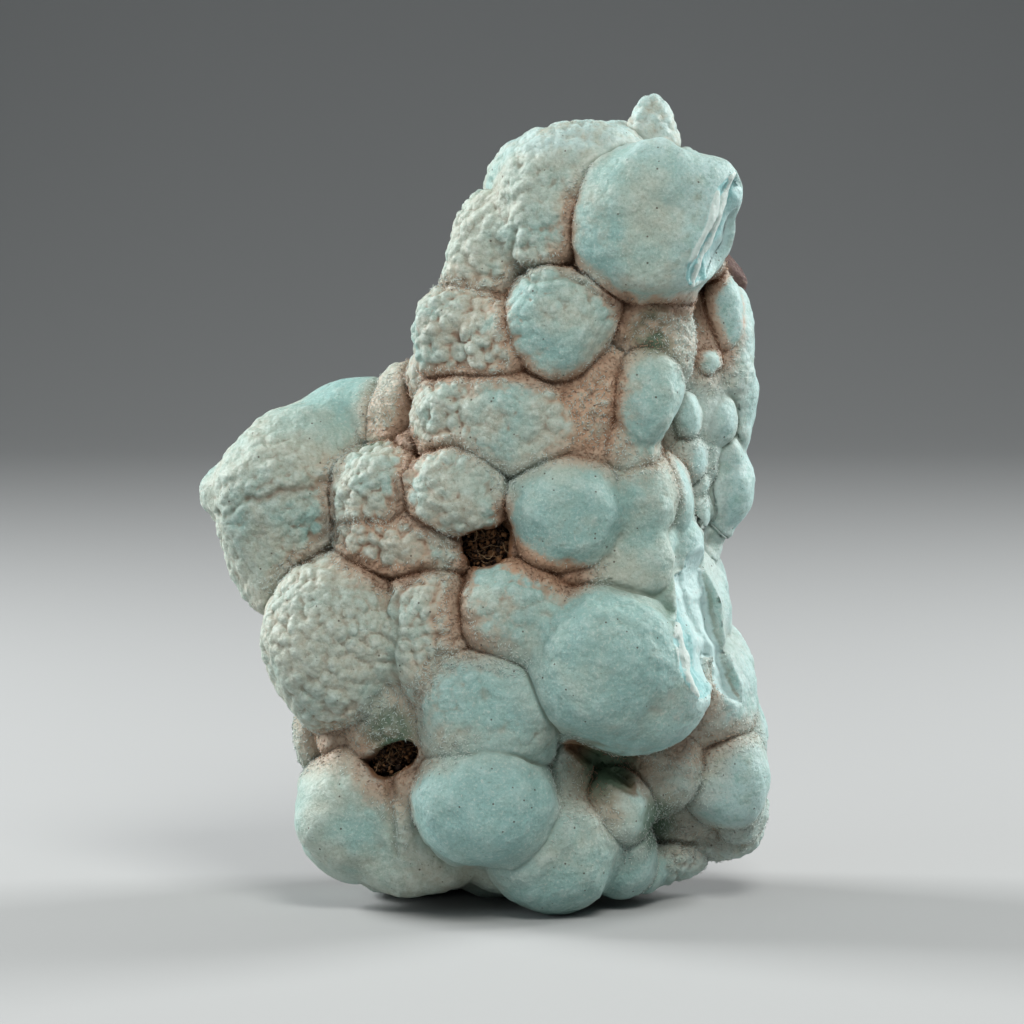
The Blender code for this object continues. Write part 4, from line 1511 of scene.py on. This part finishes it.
def finish_aragonite(finish):
    """Sets the crust's colour, gloss, grain and slight see-through look."""
    place = finish.place()
    mottle = finish.noise(place, 2, 4, 0.62)
    felt = finish.noise(place, 0.45, 3, 0.8)
    colour, crease = aragonite_colour(finish, place, mottle, felt)
    broken = finish.attribute("broken")
    colour = finish.blend(broken.between(0.3, 0.8), colour, broken_colour(finish, place, mottle))
    many = finish.attribute("druse").between(0.1, 0.9) * 0.7 + 0.3
    specks = speckle(finish, place, 1.5, 0.13, 0.3).most(speckle(finish, place, 0.9, 0.18, 0.16) * many)
    colour = finish.blend(specks * 0.8, colour, SPECK)
    colour = finish.blend(finish.attribute("deep"), colour, PIT_BROWN)
    dimple = finish.cells(place, 0.75)
    pebble = (1 - finish.cells(place, 1.3)) * (0.25 + finish.attribute("beads"))
    normal = finish.bump(felt + dimple * 0.5, 0.15, 1.0, finish.bump(pebble, 0.4))
    finish.set(Base_Color=colour, Roughness=0.55 + 0.25 * crease + 0.2 * (felt - 0.5), Normal=normal)
    finish.set(Subsurface_Weight=0.2, Subsurface_Radius=(0.6, 1.0, 1.0), Subsurface_Scale=0.0016)
    finish.set(Specular_IOR_Level=0.35)


finish_aragonite(crust_finish)
print("aragonite nodes:", len(crust_finish.tree.nodes))

# %% [markdown]
# ## Needle crystals
#
# Under a lens the felt in the creases is a mass of short aragonite needles. Hair or instances would be
# lighter, but only real faces stay with the piece. So each needle is as simple as it can be: a thin double
# pyramid of three sides, with two tips and a middle triangle, six faces in all.

# %% Shape the needles
NEEDLES = 32000
NEEDLE_LENGTH = (0.4, 0.95)  # millimetres, the shortest and the longest
NEEDLE_THICK = 0.07  # half of a needle's thickness
NEEDLE_TILT = 0.28  # how steeply the steepest stand out of the surface, in radians
NEEDLE_GIRDLE = 0.4  # where along its length a needle is thickest
NEEDLE_BACK = 6.0  # no needles grow behind this y
NEEDLE_GROUND = 0.8  # nor below this height


def strew(points, weights, count, salt):
    """The numbers of points picked by chance, more often where the weight is larger, each at most once."""
    chance = own_numbers(points, salt)[:, 2]
    rank = np.log(chance + 1e-9) / np.maximum(weights, 1e-6)
    return np.argsort(-rank)[:count]


def needle_mesh(roots, out, salt):
    """A mesh of needles that start at the roots, and a fixed number from 0 to 1 for each of its points.

    A needle's axis is a turn round the way out, tilted up a little. Its five points are its foot, its tip and
    three points round its middle.
    """
    lots = own_numbers(roots, salt)
    side = np.cross(out, (0.0, 0.0, 1.0))
    side /= np.linalg.norm(side, axis=1)[:, None] + 1e-9
    ahead = np.cross(out, side)
    turn = 2 * math.pi * lots[:, :1]
    tilt = NEEDLE_TILT * lots[:, 1:2]
    axis = (np.cos(turn) * side + np.sin(turn) * ahead) * np.cos(tilt) + out * np.sin(tilt)
    beside = np.cross(axis, out)
    beside /= np.linalg.norm(beside, axis=1)[:, None] + 1e-9
    over = np.cross(beside, axis)
    length = NEEDLE_LENGTH[0] + (NEEDLE_LENGTH[1] - NEEDLE_LENGTH[0]) * lots[:, 2:3] ** 2
    lift = roots + out * NEEDLE_THICK
    middle = lift + axis * length * NEEDLE_GIRDLE
    girdle = [middle + NEEDLE_THICK * (math.cos(a) * beside + math.sin(a) * over)
              for a in (0, 2 * math.pi / 3, 4 * math.pi / 3)]
    points = np.stack((lift, lift + axis * length, *girdle), 1)
    pattern = np.array(((0, 3, 2), (0, 4, 3), (0, 2, 4), (1, 2, 3), (1, 3, 4), (1, 4, 2)))
    faces = (5 * np.arange(len(roots))[:, None, None] + pattern).reshape(-1, 3)
    return points.reshape(-1, 3), faces, np.repeat(lots[:, 0], 5)


print("needle triangles:", 6 * NEEDLES)

# %% [markdown]
# ## Where the needles grow
#
# They are strewn over the crust's points by chance, most where the creases are stained and where crystals
# cover the lobes, and they lie nearly flat. An even scatter would hide the smooth lobes. Each passes its
# stain and a lot of its own to the finish, so that no two neighbours match.

# %% Grow the needles
def read_mark(mesh, name):
    """A mark's value at each point of the mesh."""
    values = np.empty(len(mesh.vertices), np.float32)
    mesh.attributes[name].data.foreach_get("value", values)
    return values.astype(float)


def grow_needles(finish):
    """Strews needles over the crust, and passes on the stain and a lot of their own."""
    mesh = crust.data
    points = read_points(mesh, "co") / MM
    stain, druse, halo = (read_mark(mesh, name) for name in ("stain", "druse", "halo"))
    low = smooth_step(halo, 0.25, 0.6)
    weight = 2.2 * low * stain + 0.9 * smooth_step(druse, 0.5, 1) * (0.03 + stain)
    weight *= 1 - np.clip(read_mark(mesh, "broken") + 2 * read_mark(mesh, "pit"), 0, 1)
    weight *= (points[:, 1] < NEEDLE_BACK) & (points[:, 2] > NEEDLE_GROUND)
    roots = strew(points, weight, NEEDLES, 41)
    needle_points, faces, lot = needle_mesh(points[roots], read_points(mesh, "normal")[roots], 42)
    made = fill_mesh("needle_crystals", needle_points, (), faces)
    brown = np.clip(stain * (0.3 + low), 0, 1)[roots]
    add_marks(made, {"lot": lot, "brown": np.repeat(brown, 5)})
    piece = make_piece("needle_crystals", made, finish.material)
    print("needles:", len(roots), "mean stain:", round(float(brown.mean()), 2))


def finish_needles(finish):
    """Glassy needles from white to brown, each with its own shade."""
    lot = finish.attribute("lot")
    brown = finish.attribute("brown")
    patch = finish.noise(finish.place(), 3, 3)
    colour = finish.blend((brown * 1.2 + (lot - 0.5) * 0.7 + (patch - 0.5)).between(0.1, 0.9), WHITE, ROSY)
    colour = finish.blend((brown + (0.5 - lot) * 0.9 + (patch - 0.5)).between(0.6, 1.1) * 0.85, colour, BROWN)
    finish.set(Base_Color=colour, Roughness=0.3 + 0.3 * lot)


needle_finish = Finish("needle_crystals")
finish_needles(needle_finish)
grow_needles(needle_finish)

# %% [markdown]
# ## The host rock
#
# The crust grew on a slab of dense brown rock, which shows at the right edge and makes the whole back. A
# displaced box would do, but its corners would show. So the rock starts as an outline drawn on the contact
# plane, and as a plane for each piece that was knocked off the back.

# %% List the rock's outline and chips
ROCK_OUTLINE = np.array((
    (-16, 0), (-24, 14), (-24, 28), (-30, 44), (-36, 56), (-32, 66), (-20, 73), (-9, 77), (-4, 88), (2, 101),
    (10, 109), (22, 111), (32, 105), (36, 95), (40.2, 91), (42, 84), (36, 77), (36.5, 62), (32, 52), (37, 36),
    (38, 18), (31, 7), (21, 0),
))
ROCK_CHIPS = (  # a point of each broken plane, and the way that it faces
    ((5, 28.1, 40), (0.05, 1, 0.08)),
    ((-12, 26.5, 30), (-0.5, 1, -0.15)),
    ((24, 26, 28), (0.55, 1, -0.2)),
    ((5, 26, 9), (0.1, 1, -0.65)),
    ((14, 26, 76), (0.12, 1, 0.3)),
    ((-22, 20, 60), (-0.5, 1, 0.45)),
    ((33.5, 22, 82), (0.8, 1, 0.25)),
    ((2, 22, 94), (-0.65, 1, 0.3)),
    ((16, 21, 106), (0.1, 1, 1)),
    ((36.5, 20, 50), (1, 0.75, 0)),
    ((-26, 19, 22), (-1, 0.75, -0.2)),
    ((35, 18, 12), (0.9, 0.8, -0.6)),
)


def outside_outline(points, outline):
    """How far each point is outside a closed outline; the sign comes from the crossings of a sideways ray."""
    x, z = points[:, 0], points[:, 2]
    nearest = np.full(len(points), 1e9)
    inside = np.zeros(len(points), bool)
    for start, end in zip(outline, np.roll(outline, -1, axis=0)):
        nearest = np.minimum(nearest, line_distance(x, z, start, end))
        side = end - start
        if side[1]:
            crossing = start[0] + (z - start[1]) / side[1] * side[0]
            inside ^= ((z < start[1]) != (z < end[1])) & (x < crossing)
    return np.where(inside, -nearest, nearest)


print("corners of the outline:", len(ROCK_OUTLINE), "chips:", len(ROCK_CHIPS))

# %% [markdown]
# ## The rock's surface
#
# A broken face of dense rock is rough at every size. A Displace modifier would push a smooth block's faces
# about and stretch them. So the rock is a field too: the distance outside the outline and the chips, worn by
# noise of four sizes, and the same net as the crust's gives it a surface.

# %% Shape the host rock
ROCK_STEP = 0.6  # millimetres between its lattice points
ROCK_LOW = np.array((-40.0, 7.0, -1.5))
ROCK_HIGH = np.array((46.0, 33.0, 114.0))
ROCK_ALLOWANCE = 0.9  # millimetres added all round, which the noise wears away again


def lattice_points(low, high, step):
    """The shape of an even lattice between two corners in millimetres, and its points."""
    lines = [np.arange(low[k], high[k], step) for k in range(3)]
    points = np.stack(np.meshgrid(*lines, indexing="ij"), -1)
    return points.shape[:3], points.reshape(-1, 3)


def rock_field(points):
    """Millimetres outside the rock: outline and chips, worn by noise, then the flat contact and underside."""
    value = outside_outline(points, ROCK_OUTLINE) - ROCK_ALLOWANCE
    for spot, way in ROCK_CHIPS:
        normal = np.array(way) / np.linalg.norm(way)
        value = np.maximum(value, (points - spot) @ normal)
    value += 1.1 * cloud(points, 8, 61) + 0.55 * cloud(points, 3, 62) + 0.8 * np.abs(cloud(points, 4.5, 63))
    value += 0.3 * cloud(points, 1.4, 64)
    front, _ = rock_side(points)
    return np.maximum(np.maximum(value, GAP - front), -points[:, 2])


def make_rock(material):
    """The host rock's piece."""
    shape, points = lattice_points(ROCK_LOW, ROCK_HIGH, ROCK_STEP)
    net = knot_net(rock_field(points).reshape(shape), ROCK_LOW, ROCK_STEP)
    piece = make_piece("rough_host_rock", fill_mesh("rough_host_rock", *largest_part(*net)), material)
    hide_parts("host_rock")
    print("rock faces:", len(piece.data.polygons))


rock_finish = Finish("host_rock")
make_rock(rock_finish.material)

# %% [markdown]
# ## The rock's finish
#
# The rock is purple-brown and ochre, finely grained, with dark and pale bands and a few pale crystals. The
# bands are a noise whose own place is pushed about, which bends them like veins; straight stripes would
# look laid.

# %% Finish the host rock
PURPLE_BROWN = (0.095, 0.055, 0.05)
OCHRE = (0.16, 0.10, 0.06)
PALE_BAND = (0.26, 0.20, 0.16)
DARK_BAND = (0.03, 0.018, 0.016)
ROCK_GRAIN = (0.24, 0.17, 0.13)
ROCK_CRYSTAL = (0.42, 0.42, 0.38)


def finish_rock(finish):
    """Dense brown rock: purple-brown and ochre, finely grained, with dark seams and a few pale crystals."""
    place = finish.place()
    wide = finish.noise(place, 11, 4, 0.6)
    fine = finish.noise(place, 0.7, 5, 0.75)
    bands = finish.noise(place, 3, 5, 0.6, 1.2)
    colour = finish.blend(wide.between(0.4, 0.6), PURPLE_BROWN, OCHRE)
    colour = finish.blend(bands.between(0.52, 0.66) * 0.7, colour, PALE_BAND)
    colour = finish.blend((1 - bands).between(0.54, 0.66) * 0.8, colour, DARK_BAND)
    colour = finish.blend(fine.between(0.5, 0.72) * 0.5, colour, ROCK_GRAIN)
    colour = finish.blend(speckle(finish, place, 1.1, 0.22, 0.1), colour, ROCK_CRYSTAL)
    normal = finish.bump(fine * 0.6 + bands, 0.7, 0.9)
    finish.set(Base_Color=colour, Roughness=0.7 + 0.25 * fine, Normal=normal)


finish_rock(rock_finish)
print("rock nodes:", len(rock_finish.tree.nodes))

# %% [markdown]
# ## Earth in the pits
#
# Soil with fine roots has washed into both pits. A bumpy plug would look like putty through so small an
# opening. So the packed earth of the solid model stays, behind a heap of crumbs: each is a small twenty-
# sided grain, stretched and turned by chance.

# %% Make the crumbs
CRUMBS = 900  # in each pit
CRUMB_SIZE = (0.14, 0.42)  # half sizes in millimetres
HEAP_FRONT = 4.5  # how far in front of the packed earth the heap reaches


def grain_shape():
    """The twelve points and twenty faces of a regular grain."""
    golden = (1 + math.sqrt(5)) / 2
    flat = [(0, a, b * golden) for a in (-1, 1) for b in (-1, 1)]
    points = np.array([p[k:] + p[:k] for k in range(3) for p in flat], float)
    away = np.linalg.norm(points[:, None] - points[None], axis=2)
    faces = [(i, j, k) for i in range(12) for j in range(i + 1, 12) for k in range(j + 1, 12)
             if max(away[i, j], away[j, k], away[i, k]) < 2.1]
    faces = [f if np.linalg.det(points[list(f)]) > 0 else f[::-1] for f in faces]
    return points / np.linalg.norm(points[0]), np.array(faces)


def in_pit(lots, pit, front):
    """Places in a pit's egg: the lots give an angle, a share of the radius and a depth behind its front."""
    turn = 2 * math.pi * lots[:, 0]
    reach = np.sqrt(lots[:, 1])
    local = np.stack((np.cos(turn) * reach, np.zeros(len(lots)), np.sin(turn) * reach), 1)
    y = pit.y + EARTH_SINK - front * lots[:, 2]
    narrow = np.sqrt(np.clip(1 - ((y - pit.y) / pit.deep) ** 2, 0, 1))
    places = (local * (pit.wide, 0, pit.tall) * narrow[:, None] * 0.93) @ lean_axes(pit.lean)
    return places + np.stack((np.full(len(y), pit.x), y, np.full(len(y), pit.z)), 1)


def earth_piece(name, mesh, lots, material):
    """A piece of what lies in a pit; each of its grains or roots has a lot, given for every point."""
    add_marks(mesh, {"lot": lots})
    make_piece(name, mesh, material)
    print(name, "faces:", len(mesh.polygons))


def make_crumbs(pit, material, salt):
    """The heap of crumbs in one pit."""
    numbers = np.arange(3 * CRUMBS).reshape(CRUMBS, 3)
    lots = scatter(numbers, salt)
    turns = scatter(numbers, salt + 1)
    shape, faces = grain_shape()
    jagged = shape * (0.75 + 0.5 * own_numbers(shape, salt + 2)[:, :1])
    size = CRUMB_SIZE[0] + (CRUMB_SIZE[1] - CRUMB_SIZE[0]) * turns[:, :1] ** 2
    stretch = size[:, None] * (0.6 + 0.8 * scatter(numbers, salt + 3))[:, None]
    turn = 2 * math.pi * turns[:, 1]
    c, s = np.cos(turn)[:, None], np.sin(turn)[:, None]
    x, y, z = (jagged * stretch).transpose(2, 0, 1)
    turned = np.stack((c * x - s * z, y, s * x + c * z), 2)
    points = in_pit(lots, pit, HEAP_FRONT)[:, None] + turned
    all_faces = (12 * np.arange(CRUMBS)[:, None, None] + faces).reshape(-1, 3)
    name = f"{pit.name}_pit_crumbs"
    mesh = fill_mesh(name, points.reshape(-1, 3), (), all_faces)
    earth_piece(name, mesh, np.repeat(turns[:, 2], 12), material)


print("faces of one crumb:", len(grain_shape()[1]))

# %% [markdown]
# ## Roots
#
# The roots are thin tubes along wandering paths. Curves with a bevel would do, and would then be made a
# mesh; whole arrays give the same tubes at once. Each step turns a path a little, and a ring of four points
# stands round every point of it.

# %% Make the roots
ROOTS = 70
ROOT_STEPS = 11
ROOT_STEP = 0.42
ROOT_THICK = 0.055


def make_roots(pit, material, salt):
    """Fine roots over the heap: wandering paths with a ring of four points round each of their points."""
    numbers = np.arange(3 * ROOTS).reshape(ROOTS, 3)
    start = in_pit(scatter(numbers, salt), pit, HEAP_FRONT) - (0, 0.5, 0)
    heading = 2 * math.pi * scatter(numbers, salt + 1)[:, 0]
    bends = np.stack([scatter(numbers, salt + 2 + k) - 0.5 for k in range(ROOT_STEPS)], 1)
    angle = heading[:, None] + np.cumsum(1.3 * bends[..., 0], axis=1)
    steps = np.stack((np.cos(angle), 1.2 * bends[..., 1], np.sin(angle)), 2) * ROOT_STEP
    path = start[:, None] + np.cumsum(steps, axis=1) - steps[:, :1] * ROOT_STEPS / 2
    across = np.stack((-np.sin(angle), np.zeros_like(angle), np.cos(angle)), 2)
    taper = ROOT_THICK * np.sin(np.linspace(0.12, 0.95, ROOT_STEPS) * math.pi)[:, None]
    front = np.array((0.0, -1.0, 0.0))
    ring = [path + taper * (math.cos(a) * across + math.sin(a) * front) for a in np.arange(4) * math.pi / 2]
    points = np.stack(ring, 2).reshape(-1, 3)
    first = 4 * (np.arange(ROOTS)[:, None, None] * ROOT_STEPS + np.arange(ROOT_STEPS - 1)[None, :, None])
    k = np.arange(4)
    after = (k + 1) % 4
    sides = np.stack((first + k, first + after, first + 4 + after, first + 4 + k), -1).reshape(-1, 4)
    foot = 4 * ROOT_STEPS * np.arange(ROOTS)[:, None]
    ends = np.concatenate((foot + (3, 2, 1, 0), foot + 4 * (ROOT_STEPS - 1) + (0, 1, 2, 3)))
    name = f"{pit.name}_pit_roots"
    mesh = fill_mesh(name, points, np.concatenate((sides, ends)))
    earth_piece(name, mesh, np.repeat(scatter(numbers, salt + 40)[:, 2], 4 * ROOT_STEPS), material)


print("points of one root:", 4 * ROOT_STEPS)

# %% [markdown]
# ## Filling the pits
#
# Crumbs and roots are matt and dry. One brown for all would melt them into a lump, so each crumb and each
# root has its own lot, and with it its own brown. The packed earth behind them gets the crumbs' finish.

# %% Fill the pits
CRUMB_SALT = 100
ROOT_SALT = 300
PIT_SALT = 50  # added for each further pit
DARK_EARTH = (0.03, 0.015, 0.008)
LIGHT_EARTH = (0.24, 0.115, 0.045)
BROWN_ROOT = (0.11, 0.05, 0.02)
STRAW_ROOT = (0.42, 0.28, 0.15)


def finish_earth(finish):
    """Dark crumbly earth, each crumb with its own brown."""
    place = finish.place()
    lot = finish.attribute("lot")
    fine = finish.noise(place, 0.4, 3, 0.7)
    colour = finish.blend((lot + (fine - 0.5)).between(0.2, 1.0), DARK_EARTH, LIGHT_EARTH)
    finish.set(Base_Color=colour, Roughness=0.95, Normal=finish.bump(fine, 0.15))


def finish_roots(finish):
    """Dry roots from straw to brown."""
    lot = finish.attribute("lot")
    along = finish.noise(finish.place(), 1.5, 2)
    colour = finish.blend((lot + along - 0.5).between(0.2, 1.0), BROWN_ROOT, STRAW_ROOT)
    finish.set(Base_Color=colour, Roughness=0.8)


earth_finish = Finish("earth")
finish_earth(earth_finish)
root_finish = Finish("roots")
finish_roots(root_finish)
for number, pit in enumerate(EARTH_PITS):
    make_crumbs(pit, earth_finish.material, CRUMB_SALT + PIT_SALT * number)
    make_roots(pit, root_finish.material, ROOT_SALT + PIT_SALT * number)
    frame["nodes"][f"{pit.name}_pit_earth"].data.materials[0] = earth_finish.material

# %% [markdown]
# ## The end
#
# Nothing shows by eye whether the dressed specimen still fills the same space as its solid, and this script
# doesn't compare the two.
